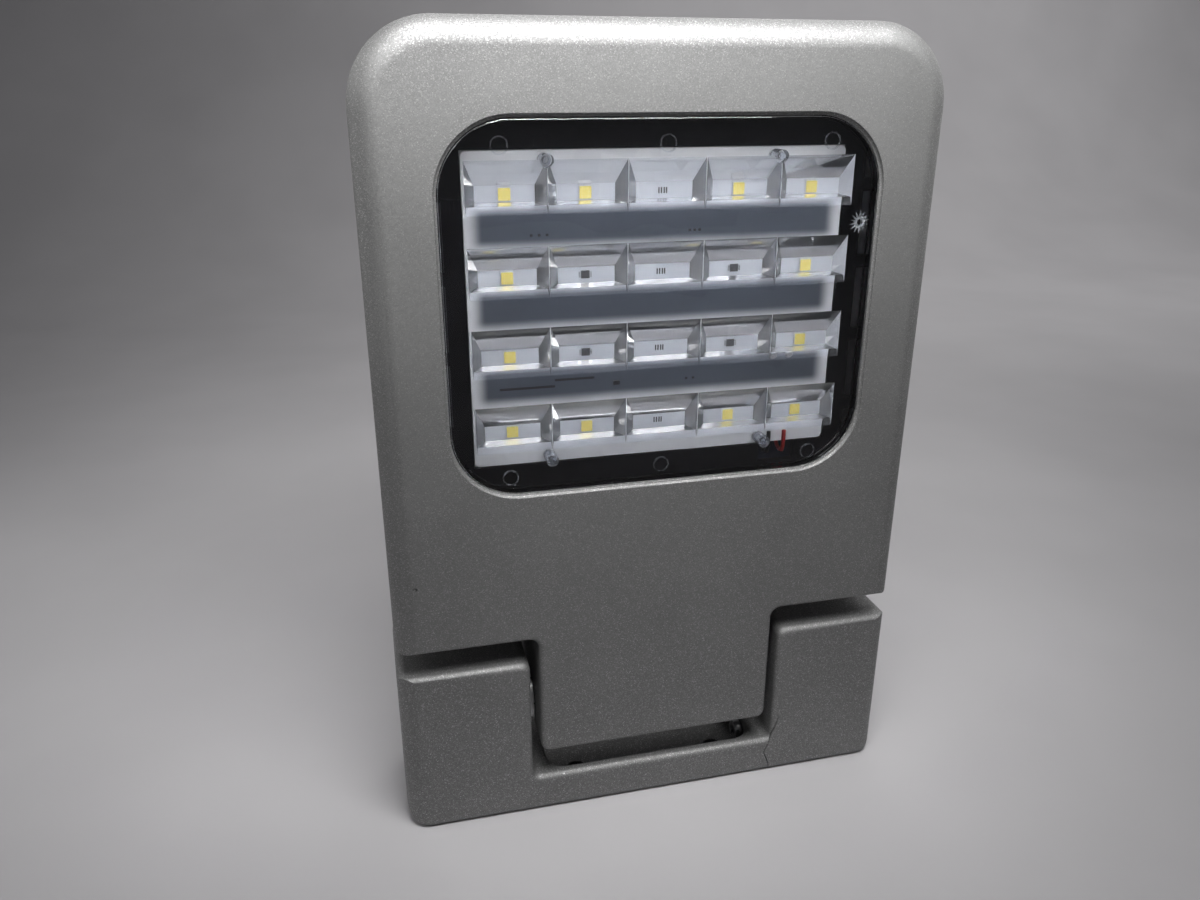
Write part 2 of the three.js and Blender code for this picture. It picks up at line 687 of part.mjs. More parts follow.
function powerButton() {
  const { sunk, under, flange, flangeBack, stem, stemEnd } = BUTTON;
  const cap = rodAlongY(BUTTON_RADIUS, 0, REAR - under, REAR - sunk, BUTTON_Z, ROUND);
  const rim = rodAlongY(BUTTON_RADIUS + flange, 0, REAR - flangeBack, REAR - under + 0.2, BUTTON_Z, ROUND);
  return cap.add(rim).add(rodAlongY(stem, 0, REAR - stemEnd, REAR - under, BUTTON_Z));
}

function buttonRing() {
  const y0 = REAR - BOOT_DEEP + GAP;
  const y1 = REAR - 0.3;
  const ring = rodAlongY(BOOT_RADIUS, 0, y0, y1, BUTTON_Z, ROUND);
  return ring.subtract(rodAlongY(BUTTON_RADIUS + GAP, 0, y0 - 1, y1 + 1, BUTTON_Z, ROUND));
}

function buttonSwitch() {
  const { half, high, leg, bridge, plunger, plungerEnd } = SWITCH;
  const base = REAR - SWITCH.base;
  const top = REAR - WALL - GAP;
  const z0 = BUTTON_Z - high;
  const z1 = BUTTON_Z + high;
  let shape = box(-half, half, base, base + bridge, z0, z1);
  const tip = REAR - plungerEnd;
  shape = shape.add(box(-plunger, plunger, base + 1, tip, BUTTON_Z - plunger, BUTTON_Z + plunger));
  for (const x of [-half, half - leg]) {
    shape = shape.add(box(x, x + leg, base, top, z0, z1));
  }
  return shape;
}

function ventPlug() {
  const cap = rodAlongY(VENT.radius, VENT.x, REAR - BOOT_DEEP + GAP, REAR - 0.3, VENT.z, 24);
  return cap.add(rodAlongY(VENT.stem, VENT.x, REAR - VENT.stemEnd, REAR - 1, VENT.z));
}

// ---------- yoke ----------

function yokePlan() {
  const quarter = Math.PI / 2;
  const foot = YOKE_FOOT_CORNER;
  const corner = ARM_CORNER;
  const shape = new THREE.Shape();
  shape.absarc(YOKE_HALF - foot, foot, foot, -quarter, 0);
  shape.absarc(YOKE_HALF - corner, ARM_TOP - corner, corner, 0, quarter);
  shape.absarc(ARM_INNER + corner, ARM_TOP - corner, corner, quarter, 2 * quarter);
  shape.absarc(ARM_INNER - BAR_CORNER, BAR_TOP + BAR_CORNER, BAR_CORNER, 0, -quarter, true);
  shape.absarc(-ARM_INNER + BAR_CORNER, BAR_TOP + BAR_CORNER, BAR_CORNER, -quarter, -2 * quarter, true);
  shape.absarc(-ARM_INNER - corner, ARM_TOP - corner, corner, 0, quarter);
  shape.absarc(-YOKE_HALF + corner, ARM_TOP - corner, corner, quarter, 2 * quarter);
  shape.absarc(-YOKE_HALF + foot, foot, foot, 2 * quarter, 3 * quarter);
  return shape;
}

// Both castings of the yoke before they are parted.
function wholeYoke() {
  const sides = column(
    roundedRectangle(-YOKE_HALF, FRONT, YOKE_HALF, REAR, YOKE_SIDE_FILLET), 0, ARM_TOP);
  const body = slab(yokePlan(), FRONT, REAR, { bevel: YOKE_BEVEL, curveSegments: 4, bevelSegments: 3 });
  const inY = REAR - YOKE_WALL;
  let shape = sides.intersect(body);
  shape = shape.subtract(column(
    roundedRectangle(-POCKET_HALF, -inY, POCKET_HALF, inY, POCKET_CORNER), BAR_FLOOR, ARM_TOP));
  for (const side of [-1, 1]) {
    const inner = side * (ARM_INNER + YOKE_WALL);
    const outer = side * (YOKE_HALF - YOKE_WALL);
    const x0 = Math.min(inner, outer);
    const x1 = Math.max(inner, outer);
    shape = shape.subtract(column(roundedRectangle(x0, -inY, x1, inY, YOKE_SIDE_FILLET - YOKE_WALL),
      -1, ARM_TOP - YOKE_WALL));
    const bossRoom = box(x0, x1, -inY, inY, 0, ARM_TOP);
    shape = shape.add(rodAlongX(HINGE_BOSS, x0 - 1, x1 + 1, 0, AXIS_Z).intersect(bossRoom));
    const counterbore = side * (YOKE_HALF - BOLT.sunk - BOLT.headDeep - GAP);
    shape = shape.subtract(rodAlongX(BOLT.radius + RUNNING, side * (ARM_INNER - 1), outer, 0, AXIS_Z, 24));
    shape = shape.subtract(rodAlongX(BOLT.head + RUNNING, counterbore, side * (YOKE_HALF + 1), 0, AXIS_Z));
  }
  for (const x of [-FIXING.x, FIXING.x]) {
    for (const y of [-FIXING.y, FIXING.y]) {
      shape = shape.subtract(rodAlongZ(FIXING.radius, x, y, -1, BAR_FLOOR + 1, 20));
    }
  }
  for (const y of [-JOINT_BOLT.y, JOINT_BOLT.y]) {
    const reach = ARM_INNER + YOKE_WALL + 1;
    const hole = JOINT_BOLT.radius + RUNNING;
    shape = shape.subtract(rodAlongX(hole, POCKET_HALF - 1, reach, y, JOINT_BOLT.z, 16));
  }
  return shape;
}

// The stepped joint between the castings, from the inner corner of the right arm to the base.
// It is the outline of everything to the right of the joint, moved right by the given distance.
function rightOfJoint(shift) {
  const { inner, outer, lip, kink, step, shoulder, top } = JOINT;
  const joint = [[lip, top], [outer, shoulder], [inner, step], [outer, kink], [outer, -2]];
  const outline = joint.map(([x, z]) => [x + shift, z]);
  outline.push([BEYOND, -2], [BEYOND, BEYOND], [ARM_INNER - 2, BEYOND], [ARM_INNER - 2, top]);
  return slab(polygon(outline), FRONT - 5, REAR + 5);
}

function jointBolt(y) {
  const { z, radius, head: headRadius, headDeep, socket, end } = JOINT_BOLT;
  const under = POCKET_HALF - GAP;
  const shank = rodAlongX(radius, under - 0.5, end, y, z, 16);
  const cap = rodAlongX(headRadius, under - headDeep, under, y, z, SMALL_ROUND);
  return shank.add(cap).subtract(rodAlongX(socket, under - headDeep - 1, under - 1.4, y, z, 6));
}

function tiltBolt(side) {
  const top = side * (YOKE_HALF - BOLT.sunk);
  const under = top - side * BOLT.headDeep;
  const shank = rodAlongX(BOLT.radius, side * BOLT.end, under + side * 0.5, 0, AXIS_Z, 24);
  const cap = rodAlongX(BOLT.head, under, top, 0, AXIS_Z);
  return shank.add(cap).subtract(rodAlongX(BOLT.socket, top - side * 5, top + side, 0, AXIS_Z, 6));
}

function ringAlongX(outer, inner, xa, xb, sides = ROUND) {
  const over = xb > xa ? 1 : -1;
  return rodAlongX(outer, xa, xb, 0, AXIS_Z, sides)
    .subtract(rodAlongX(inner, xa - over, xb + over, 0, AXIS_Z, sides));
}

// ---------- assembly ----------

addPiece(head, "front_frame", frontFrame(), silver);
addPiece(head, "rear_housing", rearHousing(), silver);
addPiece(head, "housing_seal", housingSeal(), rubber);
addPiece(head, "window_gasket", windowGasket(), rubber);
addPiece(head, "lens_plate", lensPlate(), clear);
addPiece(head, "light_tray", lightTray(), blackPlastic);
addPiece(head, "led_board", ledBoard(), whiteBoard);
addPiece(head, "heat_spreader", heatSpreader(), aluminium);

let ledCount = 0;
for (let row = 0; row < ROWS; row += 1) {
  for (let column = 0; column < COLUMNS; column += 1) {
    if (hasLed(row, column)) {
      ledCount += 1;
      const led = addPiece(head, `led_${ledCount}`, ledPackage(), phosphor);
      led.position.set(columnX(column), 0, rowZ(row));
    }
  }
}

boardScrewPlaces().forEach((place, i) => {
  addPiece(head, `board_screw_${i + 1}`, boardScrew(place), steel);
});

cellPlaces().forEach(([x, z], i) => {
  const cell = addPiece(head, `battery_cell_${i + 1}`, batteryCell(), cellWrap);
  cell.position.set(x, CELL_Y, z);
});
addPiece(head, "battery_holder", batteryHolder(), blackPlastic);
addPiece(head, "controller_board", controllerBoard(), greenBoard);
addPiece(head, "controller_inductor", controllerInductor(), ferrite);
addPiece(head, "terminal_block", terminalBlock(), ferrite);
addPiece(head, "red_lead", ledLead(TERMINALS.second, RED_PAD_X), redSleeve);
addPiece(head, "black_lead", ledLead(TERMINALS.first, BLACK_PAD_X), blackSleeve);
addPiece(head, "panel_lead", panelLead(), blackSleeve);

addPiece(head, "panel_frame", panelFrame(), blackPlastic);
addPiece(head, "panel_glass", panelLayer(PANEL_GLASS), glass);
addPiece(head, "cell_sheet", panelLayer(PANEL_SHEET), solarCells);

COVER_SCREWS.forEach(([x, z], i) => {
  const screw = screwAlongY(x, z, REAR - COVER_SCREW.sunk, COVER_SCREW, COVER_SCREW.end);
  addPiece(head, `cover_screw_${i + 1}`, screw, steel);
});
addPiece(head, "power_button", powerButton(), blackPlastic);
addPiece(head, "button_ring", buttonRing(), rubber);
addPiece(head, "button_switch", buttonSwitch(), blackPlastic);
addPiece(head, "vent_plug", ventPlug(), blackPlastic);

const castYoke = wholeYoke();
addPiece(yoke, "yoke_left", castYoke.subtract(rightOfJoint(0)), silver);
addPiece(yoke, "yoke_right", castYoke.intersect(rightOfJoint(JOINT_GAP)), silver);
addPiece(yoke, "joint_bolt_1", jointBolt(-JOINT_BOLT.y), steel);
addPiece(yoke, "joint_bolt_2", jointBolt(JOINT_BOLT.y), steel);

for (const [name, side] of [["left", -1], ["right", 1]]) {
  const tongue = side * TONGUE_HALF;
  const arm = side * ARM_INNER;
  const gap = side * GAP;
  const hole = BOLT.radius + RUNNING;
  addPiece(yoke, `tilt_bolt_${name}`, tiltBolt(side), steel);
  addPiece(yoke, `friction_washer_${name}`, ringAlongX(WASHER_RADIUS, hole, tongue + gap, arm - gap), steel);
  const bush = ringAlongX(BUSH_RADIUS, hole, tongue - side * (BUSH_LENGTH - GAP), tongue - gap);
  addPiece(head, `hinge_bush_${name}`, bush, steel);
}

export default lamp;
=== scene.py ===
"""Looks of the solar street lamp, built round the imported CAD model. Metres, in the CAD's own frame."""

import math

import bmesh
import bpy
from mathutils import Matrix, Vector


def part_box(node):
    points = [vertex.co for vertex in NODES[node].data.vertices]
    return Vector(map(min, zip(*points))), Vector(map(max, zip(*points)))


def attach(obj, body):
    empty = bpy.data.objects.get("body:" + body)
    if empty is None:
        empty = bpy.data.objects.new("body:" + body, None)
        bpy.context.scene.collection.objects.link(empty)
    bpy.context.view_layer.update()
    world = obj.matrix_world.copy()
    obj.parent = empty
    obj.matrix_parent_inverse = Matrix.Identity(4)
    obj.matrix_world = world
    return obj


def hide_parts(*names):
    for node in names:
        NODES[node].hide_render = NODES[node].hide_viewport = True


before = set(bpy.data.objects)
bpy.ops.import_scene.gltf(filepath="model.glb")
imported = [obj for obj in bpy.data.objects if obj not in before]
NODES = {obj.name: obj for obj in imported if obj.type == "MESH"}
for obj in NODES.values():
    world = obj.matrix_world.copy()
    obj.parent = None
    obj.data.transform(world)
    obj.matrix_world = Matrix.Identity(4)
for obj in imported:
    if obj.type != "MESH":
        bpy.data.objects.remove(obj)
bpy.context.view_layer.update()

MM = 0.001
GAP = 0.3 * MM  # left between two pieces that touch
FAR = 400 * MM  # past the whole object
QUARTER = math.pi / 2

# ---------- places read from the frame ----------

def middle(name):
    """The centre of a CAD node's box."""
    low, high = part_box(name)
    return (low + high) / 2


FRONT_LOW, FRONT_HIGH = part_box("front_frame")
REAR_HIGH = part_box("rear_housing")[1]
LENS_LOW, LENS_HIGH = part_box("lens_plate")
BOARD_LOW, BOARD_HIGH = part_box("led_board")
PANEL_LOW, PANEL_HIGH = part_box("panel_frame")
SHEET_LOW, SHEET_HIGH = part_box("cell_sheet")
YOKE_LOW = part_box("yoke_left")[0]
YOKE_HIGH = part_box("yoke_right")[1]
BUTTON_LOW, BUTTON_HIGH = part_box("power_button")
RING_LOW, RING_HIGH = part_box("button_ring")

# ---------- sizes that the boxes don't give ----------

HEAD_CORNER = 30 * MM
FRONT_FILLET = 10 * MM
REAR_FILLET = 5 * MM
WALL = 3 * MM
NOTCH_Z = 89 * MM
NOTCH_CORNER = 4.5 * MM
TONGUE_HALF = 53 * MM
TONGUE_CORNER = 4 * MM
TONGUE_BEVEL = 2.5 * MM
SEAM_EDGE = 0.4 * MM  # rounding of the two castings' rims at the seam
FLANGE_REACH = 6 * MM  # of the lens beyond the window, all round
WINDOW_CORNER = 27 * MM
WINDOW_LIP = 1.2 * MM
ARM_INNER = 57 * MM
ARM_CORNER = 4 * MM
YOKE_SIDE_FILLET = 10 * MM
YOKE_BEVEL = 3 * MM
YOKE_FOOT_CORNER = 11 * MM
YOKE_WALL = 5 * MM
BAR_TOP = 17.7 * MM
BAR_CORNER = 3 * MM
BAR_FLOOR = 6 * MM
POCKET_HALF = 49 * MM
POCKET_CORNER = 9 * MM
CLAMP_X = 82 * MM  # posts that press the heat spreader forward
CLAMP_Z = (186 * MM, 290 * MM)
CLAMP_RADIUS = 4 * MM
POST_INSET = 5 * MM  # of the posts behind the controller board, from its edges
POST_RADIUS = 3 * MM
SCREW_POST_RADIUS = 5 * MM
BUSH_DEPTH = 16 * MM  # of the bushes from the tongue's sides
BUSH_RADIUS = 8 * MM + GAP
BUSH_WALL = 1.9 * MM
SHANK_RADIUS = 5 * MM + GAP  # hole round the shank of a tilt bolt
TILT_HEAD_DEPTH = 8 * MM
TILT_HEAD_SUNK = MM
ARM_BOSS_RADIUS = 13 * MM
COUNTERBORE_RADIUS = 9 * MM + GAP
FIXING_HOLES = (34 * MM, 12 * MM, 4.4 * MM)  # of the base: half spacings across and deep, and radius
JOINT_HOLE_RADIUS = 3.3 * MM
JOINT_GAP = 0.4 * MM  # between the two castings of the yoke
JOINT_STEP = ((60, 30), (56.4, 17), (53.6, 11), (56.4, 3.5), (56.4, -2))  # mm, down the joint between them
PINHOLE = (-102.5 * MM, 120 * MM, 0.75 * MM)  # x, z and radius of the small hole in the front
BUTTON_HOLE_RADIUS = 8.3 * MM
VENT_HOLE_RADIUS = 3.3 * MM
OPTIC_STEP = 0.8 * MM  # depth of an optic's shallow step, next to the plate
OPTIC_WIDE = (15 * MM, 7.8 * MM, 12.4 * MM)  # an optic at the plate: half width, reach down, reach up
OPTIC_WAIST = (14.5 * MM, 3.7 * MM, 11.26 * MM)
OPTIC_NARROW = (11 * MM, 2.7 * MM, 3.3 * MM)
LENS_THICK = 4.6 * MM  # from the front of the head to the back of the lens plate
FLANGE_FRONT = 4.3 * MM  # and to the front of its flange
FLANGE_THICK = 2 * MM
RING_MARKS_X = (-62 * MM, 0.0, 65 * MM)
RING_MARKS_Z = (163 * MM, 288.5 * MM)
GATE_PLACE = (79.3 * MM, 257.9 * MM)
GATE_POINTS = 14
GATE_RADII = (1.9 * MM, 4.2 * MM)  # of the star between its points and at them
GATE_HOLE_RADIUS = 1.1 * MM
PAINTED_SHADE_SHARE = 0.60  # where the grey strips of painted shade lie between one row of light sources and the next
PAINTED_SHADE_HALF = 7 * MM
PAINTED_SHADE_SOFT = 5.5 * MM
PANEL_CORNER = 6 * MM
PRINT_THICK = 0.06 * MM
PRINT_DOTS = ((-47, 256), (-44, 256), (-50, 256), (12, 256), (14, 256), (16, 256), (12.5, 196.5),
              (15.5, 196.5))  # mm, x and z of the small dark marks on the light board
PRINT_LINES = ((-64, -42, 197), (-42, -26, 199.5))  # mm, both ends and the height of its dark lines
PRINT_CHIP = (-17 * MM, 196.8 * MM)
LEAD_ENDS = (("red_lead", 57 * MM), ("black_lead", 50 * MM))  # where along the board each lead ends
BUSBAR_SHARES = (0.27, 0.73)  # of a cell's height
BUSBAR_HALF = 0.6 * MM
BUSBAR_PAST = 0.8 * MM  # how far a busbar runs past its cell

WINDOW_X = LENS_HIGH.x - FLANGE_REACH
WINDOW_Z0 = LENS_LOW.z + FLANGE_REACH
WINDOW_Z1 = LENS_HIGH.z - FLANGE_REACH
AXIS_Z = middle("tilt_bolt_left").z
REAR_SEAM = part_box("housing_seal")[1].y + GAP  # rim of the rear housing; its own box takes in its posts


# ---------- mesh tools ----------

def new_object(name, bm):
    mesh = bpy.data.meshes.new(name)
    bm.to_mesh(mesh)
    bm.free()
    obj = bpy.data.objects.new(name, mesh)
    bpy.context.scene.collection.objects.link(obj)
    return obj


def arc(cx, cy, radius, start, end, steps=12):
    """Points on an arc, from the start angle to the end angle, both included."""
    angles = [start + (end - start) * i / steps for i in range(steps + 1)]
    return [(cx + radius * math.cos(a), cy + radius * math.sin(a)) for a in angles]


def rounded_rectangle(x0, y0, x1, y1, radius, steps=12):
    return (arc(x1 - radius, y0 + radius, radius, -QUARTER, 0, steps)
            + arc(x1 - radius, y1 - radius, radius, 0, QUARTER, steps)
            + arc(x0 + radius, y1 - radius, radius, QUARTER, 2 * QUARTER, steps)
            + arc(x0 + radius, y0 + radius, radius, 2 * QUARTER, 3 * QUARTER, steps))


def loft(name, rings):
    """A closed solid through rings of points. Each ring is a list of (x, y, z), all of one length."""
    bm = bmesh.new()
    made = [[bm.verts.new(p) for p in ring] for ring in rings]
    count = len(made[0])
    for a, b in zip(made, made[1:]):
        for i in range(count):
            j = (i + 1) % count
            bm.faces.new((a[i], a[j], b[j], b[i]))
    bm.faces.new(made[0])
    bm.faces.new(list(reversed(made[-1])))
    bmesh.ops.recalc_face_normals(bm, faces=bm.faces)
    return new_object(name, bm)


def rim(y0, y1, radius0, radius1, steps=8):
    """(inset, y) down a side whose two rims are rounded."""
    first = [(radius0 * (1 - math.cos(a)), y0 + radius0 * (1 - math.sin(a)))
             for a in [QUARTER * (1 - i / steps) for i in range(steps + 1)]] if radius0 else [(0, y0)]
    last = [(radius1 * (1 - math.cos(a)), y1 - radius1 * (1 - math.sin(a)))
            for a in [QUARTER * i / steps for i in range(steps + 1)]] if radius1 else [(0, y1)]
    return first + last


def front_slab(name, plan, y0, y1, radius0=0.0, radius1=0.0, steps=8):
    """A front-view plan (a function of its inset) as a slab along Y, with rounded rims."""
    levels = rim(y0, y1, radius0, radius1, steps)
    return loft(name, [[(x, y, z) for x, z in plan(inset)] for inset, y in levels])


def upright_column(name, outline, z0, z1):
    """An outline seen from above, as a column along Z."""
    return loft(name, [[(x, y, z) for x, y in outline] for z in (z0, z1)])


def circle(cx, cy, radius, sides):
    turns = [2 * math.pi * i / sides for i in range(sides)]
    return [(cx + radius * math.cos(t), cy + radius * math.sin(t)) for t in turns]


def side_rod(name, radius, x0, x1, y, z, sides=48, edge=0.0):
    """A round rod along X."""
    levels = rim(x0, x1, edge, edge, 3)
    return loft(name, [[(x, a, b) for a, b in circle(y, z, radius - inset, sides)] for inset, x in levels])


def rear_rod(name, radius, x, y0, y1, z, sides=48, edge0=0.0, edge1=0.0):
    """A round rod along Y."""
    return front_slab(name, lambda inset: circle(x, z, radius - inset, sides), y0, y1, edge0, edge1, 3)


def upright_rod(name, radius, x, y, z0, z1, sides=32):
    """A round rod along Z."""
    return upright_column(name, circle(x, y, radius, sides), z0, z1)


def block(name, low, high):
    x0, y0, z0 = low
    x1, y1, z1 = high
    return loft(name, [[(x0, y, z0), (x1, y, z0), (x1, y, z1), (x0, y, z1)] for y in (y0, y1)])


def combine(target, tools, operation):
    """Joins, cuts or intersects the target with each tool, and throws the tools away."""
    for tool in tools:
        step = target.modifiers.new("step", "BOOLEAN")
        step.operation = operation
        step.object = tool
        step.solver = "MANIFOLD"
        bpy.context.view_layer.update()
        evaluated = target.evaluated_get(bpy.context.evaluated_depsgraph_get())
        mesh = bpy.data.meshes.new_from_object(evaluated)
        old = target.data
        target.modifiers.remove(step)
        target.data = mesh
        bpy.data.meshes.remove(old)
        waste = tool.data
        bpy.data.objects.remove(tool)
        bpy.data.meshes.remove(waste)
    return target


def cut(target, *tools):
    return combine(target, tools, "DIFFERENCE")


def join(target, *tools):
    return combine(target, tools, "UNION")


def common(target, *tools):
    return combine(target, tools, "INTERSECT")


def smooth(obj, sharp_degrees=32):
    """Round faces shade as round and flat ones as flat."""
    for polygon in obj.data.polygons:
        polygon.use_smooth = True
    obj.data.set_sharp_from_angle(angle=math.radians(sharp_degrees))
    weighted = obj.modifiers.new("weighted", "WEIGHTED_NORMAL")
    weighted.keep_sharp = True
    weighted.weight = 100
    return obj


def polish(name, finish, edge=0.2 * MM, sharp_degrees=35):
    """A CAD node shown as it is: welded, its sharp edges rounded a little, and given its finish."""
    obj = NODES[name]
    for extra in ("custom_normal", "sharp_edge"):
        if extra in obj.data.attributes:
            obj.data.attributes.remove(obj.data.attributes[extra])
    for polygon in obj.data.polygons:
        polygon.use_smooth = True
    obj.data.materials.clear()
    obj.data.materials.append(finish.material)
    weld = obj.modifiers.new("weld", "WELD")
    weld.merge_threshold = 0.002 * MM
    if edge:
        bevel = obj.modifiers.new("bevel", "BEVEL")
        bevel.width = edge
        bevel.segments = 2
        bevel.limit_method = "ANGLE"
        bevel.angle_limit = math.radians(sharp_degrees)
    weighted = obj.modifiers.new("weighted", "WEIGHTED_NORMAL")
    weighted.weight = 100
    return obj


def place(obj, finish, body, slot, *nodes):
    """Gives a piece its material and its body, and puts it in place of CAD nodes. Its slot is not used."""
    obj.data.materials.clear()
    obj.data.materials.append(finish.material)
    return put(obj, body, slot, *nodes)


def put(obj, body, slot, *nodes):
    """The same for a piece that already has its materials."""
    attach(obj, body)
    if nodes:
        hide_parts(*nodes)
    return obj


# ---------- material tools ----------

class Finish:
    """A material with its Principled shader and a few shorthand nodes."""

    def __init__(self, name, color, roughness, metallic=0.0, **sockets):
        self.material = bpy.data.materials.new(name)
        self.material.use_nodes = True
        self.nodes = self.material.node_tree.nodes
        self.links = self.material.node_tree.links
        self.shader = self.nodes["Principled BSDF"]
        self.set("Base Color", (*color, 1))
        self.set("Roughness", roughness)
        self.set("Metallic", metallic)
        for socket, value in sockets.items():
            self.set(socket.replace("_", " "), value)
        self.place = self.nodes.new("ShaderNodeTexCoord").outputs["Object"]

    def set(self, socket, value):
        self.shader.inputs[socket].default_value = value

    def link(self, output, socket):
        self.links.new(output, self.shader.inputs[socket])

    def feed(self, socket, value):
        """Links an output to a socket, or sets the socket to a plain value."""
        if hasattr(value, "links"):
            self.links.new(value, socket)
        else:
            socket.default_value = value

    def add(self, kind, **inputs):
        """A new node, with some of its inputs linked or set."""
        node = self.nodes.new("ShaderNode" + kind)
        for socket, value in inputs.items():
            self.feed(node.inputs[socket.replace("_", " ")], value)
        return node

    def noise(self, size, detail=2.0, roughness=0.5, stretch=(1, 1, 1)):
        """Noise whose features are about size metres across."""
        mapping = self.add("Mapping", Vector=self.place, Scale=[s / size for s in stretch])
        texture = self.add("TexNoise", Vector=mapping.outputs["Vector"], Scale=1, Detail=detail,
                           Roughness=roughness)
        return texture.outputs["Fac"]

    def flakes(self, size):
        """A random value for each cell of about size metres."""
        texture = self.add("TexVoronoi", Vector=self.place, Scale=1 / size)
        return self.add("SeparateColor", Color=texture.outputs["Color"]).outputs["Red"]

    def stripes(self, pitch, share):
        """1 on thin lines across X, one for each pitch, that cover this share of it, and 0 between them."""
        split = self.add("SeparateXYZ", Vector=self.place)
        turns = self.arithmetic("DIVIDE", split.outputs["X"], pitch)
        return self.arithmetic("LESS_THAN", self.arithmetic("FRACT", turns), share)

    def arithmetic(self, operation, a, b=0.0):
        """One Math node. Each operand is a number or an output."""
        step = self.add("Math")
        step.operation = operation
        for socket, operand in zip(step.inputs, (a, b)):
            self.feed(socket, operand)
        return step.outputs["Value"]

    def fade(self, value, start, end):
        """0 at the start, 1 at the end, smooth between them."""
        node = self.add("MapRange", Value=value, From_Min=start, From_Max=end)
        node.interpolation_type = "SMOOTHSTEP"
        return node.outputs["Result"]

    def painted_shade_strips(self, pitch, centre, half, soft, low, high):
        """1 on soft level strips of painted shade, one for each pitch in Z, between two heights and well
        inside the board.
        """
        split = self.add("SeparateXYZ", Vector=self.place)
        x, z = split.outputs["X"], split.outputs["Z"]
        turns = self.arithmetic("DIVIDE", self.arithmetic("SUBTRACT", z, centre - pitch / 2), pitch)
        row = self.arithmetic("FRACT", turns)
        away = self.arithmetic("ABSOLUTE", self.arithmetic("SUBTRACT", row, 0.5))
        painted_shade = self.fade(away, (half + soft / 2) / pitch, (half - soft / 2) / pitch)
        inside = self.fade(self.arithmetic("ABSOLUTE", x), BOARD_HIGH.x - MM, BOARD_HIGH.x - 7 * MM)
        above = self.fade(z, low - MM, low + MM)
        below = self.fade(z, high + MM, high - MM)
        for limit in (inside, above, below):
            painted_shade = self.arithmetic("MULTIPLY", painted_shade, limit)
        return painted_shade

    def rounded_edges(self, radius):
        """A normal that rounds sharp edges."""
        node = self.add("Bevel", Radius=radius)
        node.samples = 4
        return node.outputs["Normal"]

    def ramp(self, value, *stops):
        """Colour stops as (position, grey or colour)."""
        node = self.add("ValToRGB", Fac=value)
        elements = node.color_ramp.elements
        while len(elements) < len(stops):
            elements.new(0.5)
        for element, (position, color) in zip(elements, stops):
            element.position = position
            element.color = (color, color, color, 1) if isinstance(color, (int, float)) else (*color, 1)
        return node.outputs["Color"]

    def drive(self, socket, value, *stops):
        """Sets a socket of the shader from a value, by colour stops."""
        self.link(self.ramp(value, *stops), socket)

    def mix(self, factor, a, b):
        """A blend of two colours. Each is an output or a plain colour."""
        node = self.add("Mix")
        node.data_type = "RGBA"
        self.feed(node.inputs[0], factor)
        for index, color in ((6, a), (7, b)):
            self.feed(node.inputs[index], color if hasattr(color, "links") else (*color, 1))
        return node.outputs[2]

    def bump(self, value, depth, strength=1.0, after=None):
        """Raises the surface by up to depth metres where the value is high."""
        node = self.add("Bump", Distance=depth, Strength=strength, Height=value)
        if after is not None:
            self.links.new(after, node.inputs["Normal"])
        self.link(node.outputs["Normal"], "Normal")
        return node.outputs["Normal"]


# ---------- materials ----------

def grained(name, color, metallic, size, detail, rough, depth=0.0, strength=0.5, stretch=1):
    """A plain material with a fine grain: its roughness varies with it, and it is raised by the depth."""
    finish = Finish(name, color, rough[0], metallic)
    grain = finish.noise(size, detail, 0.5, (stretch, 1, 1))
    finish.drive("Roughness", grain, (0.3, rough[0]), (0.7, rough[1]))
    if depth:
        finish.bump(grain, depth, strength)
    return finish


def powder_coat():
    """Silver metallic powder paint: fine orange peel with bright flakes in it."""
    finish = Finish("silver_powder_coat", (0.25, 0.25, 0.247), 0.5, 0.97)
    flake = finish.flakes(0.30 * MM)
    shade = finish.ramp(flake, (0.0, (0.19, 0.19, 0.188)), (0.6, (0.25, 0.25, 0.247)),
                        (0.93, (0.33, 0.33, 0.326)), (1.0, (0.60, 0.60, 0.59)))
    cloud = finish.noise(35 * MM, 2)
    mottled = finish.mix(0.25, shade, finish.ramp(cloud, (0.3, 0.21), (0.7, 0.29)))
    finish.link(mottled, "Base Color")
    finish.drive("Roughness", flake, (0.0, 0.74), (0.85, 0.67), (1.0, 0.46))
    peel = finish.noise(1.1 * MM, 3, 0.6)
    first = finish.bump(peel, 0.05 * MM, 0.6, finish.rounded_edges(0.35 * MM))
    finish.bump(flake, 0.02 * MM, 0.5, first)
    return finish


def black_moulding():
    """Moulded black plastic with a fine spark-eroded grain."""
    finish = Finish("black_plastic", (0.004, 0.004, 0.006), 0.45, Specular_IOR_Level=0.15)
    grain = finish.noise(0.35 * MM, 3)
    finish.drive("Roughness", grain, (0.3, 0.36), (0.7, 0.52))
    finish.drive("Base Color", finish.noise(9 * MM),
                 (0.3, (0.003, 0.003, 0.004)), (0.7, (0.005, 0.005, 0.007)))
    finish.bump(grain, 0.015 * MM, 0.5)
    return finish


def rubber():
    """Black silicone rubber, dull, with a little dust in it."""
    finish = Finish("black_rubber", (0.012, 0.012, 0.013), 0.7)
    dust = finish.noise(3 * MM, 4)
    finish.drive("Base Color", dust, (0.35, (0.010, 0.010, 0.011)), (0.75, (0.022, 0.022, 0.023)))
    finish.drive("Roughness", dust, (0.3, 0.62), (0.7, 0.82))
    return finish


def acrylic(name, color, transmission):
    """Moulded acrylic, very slightly hazed. Less transmission gives it a milky cast."""
    finish = Finish(name, color, 0.02, Transmission_Weight=transmission, IOR=1.49, Specular_IOR_Level=0.09)
    haze = finish.noise(6 * MM, 3)
    finish.drive("Roughness", haze, (0.4, 0.012), (0.8, 0.035))
    finish.bump(finish.noise(14 * MM, 1), 0.02 * MM, 0.15)
    return finish


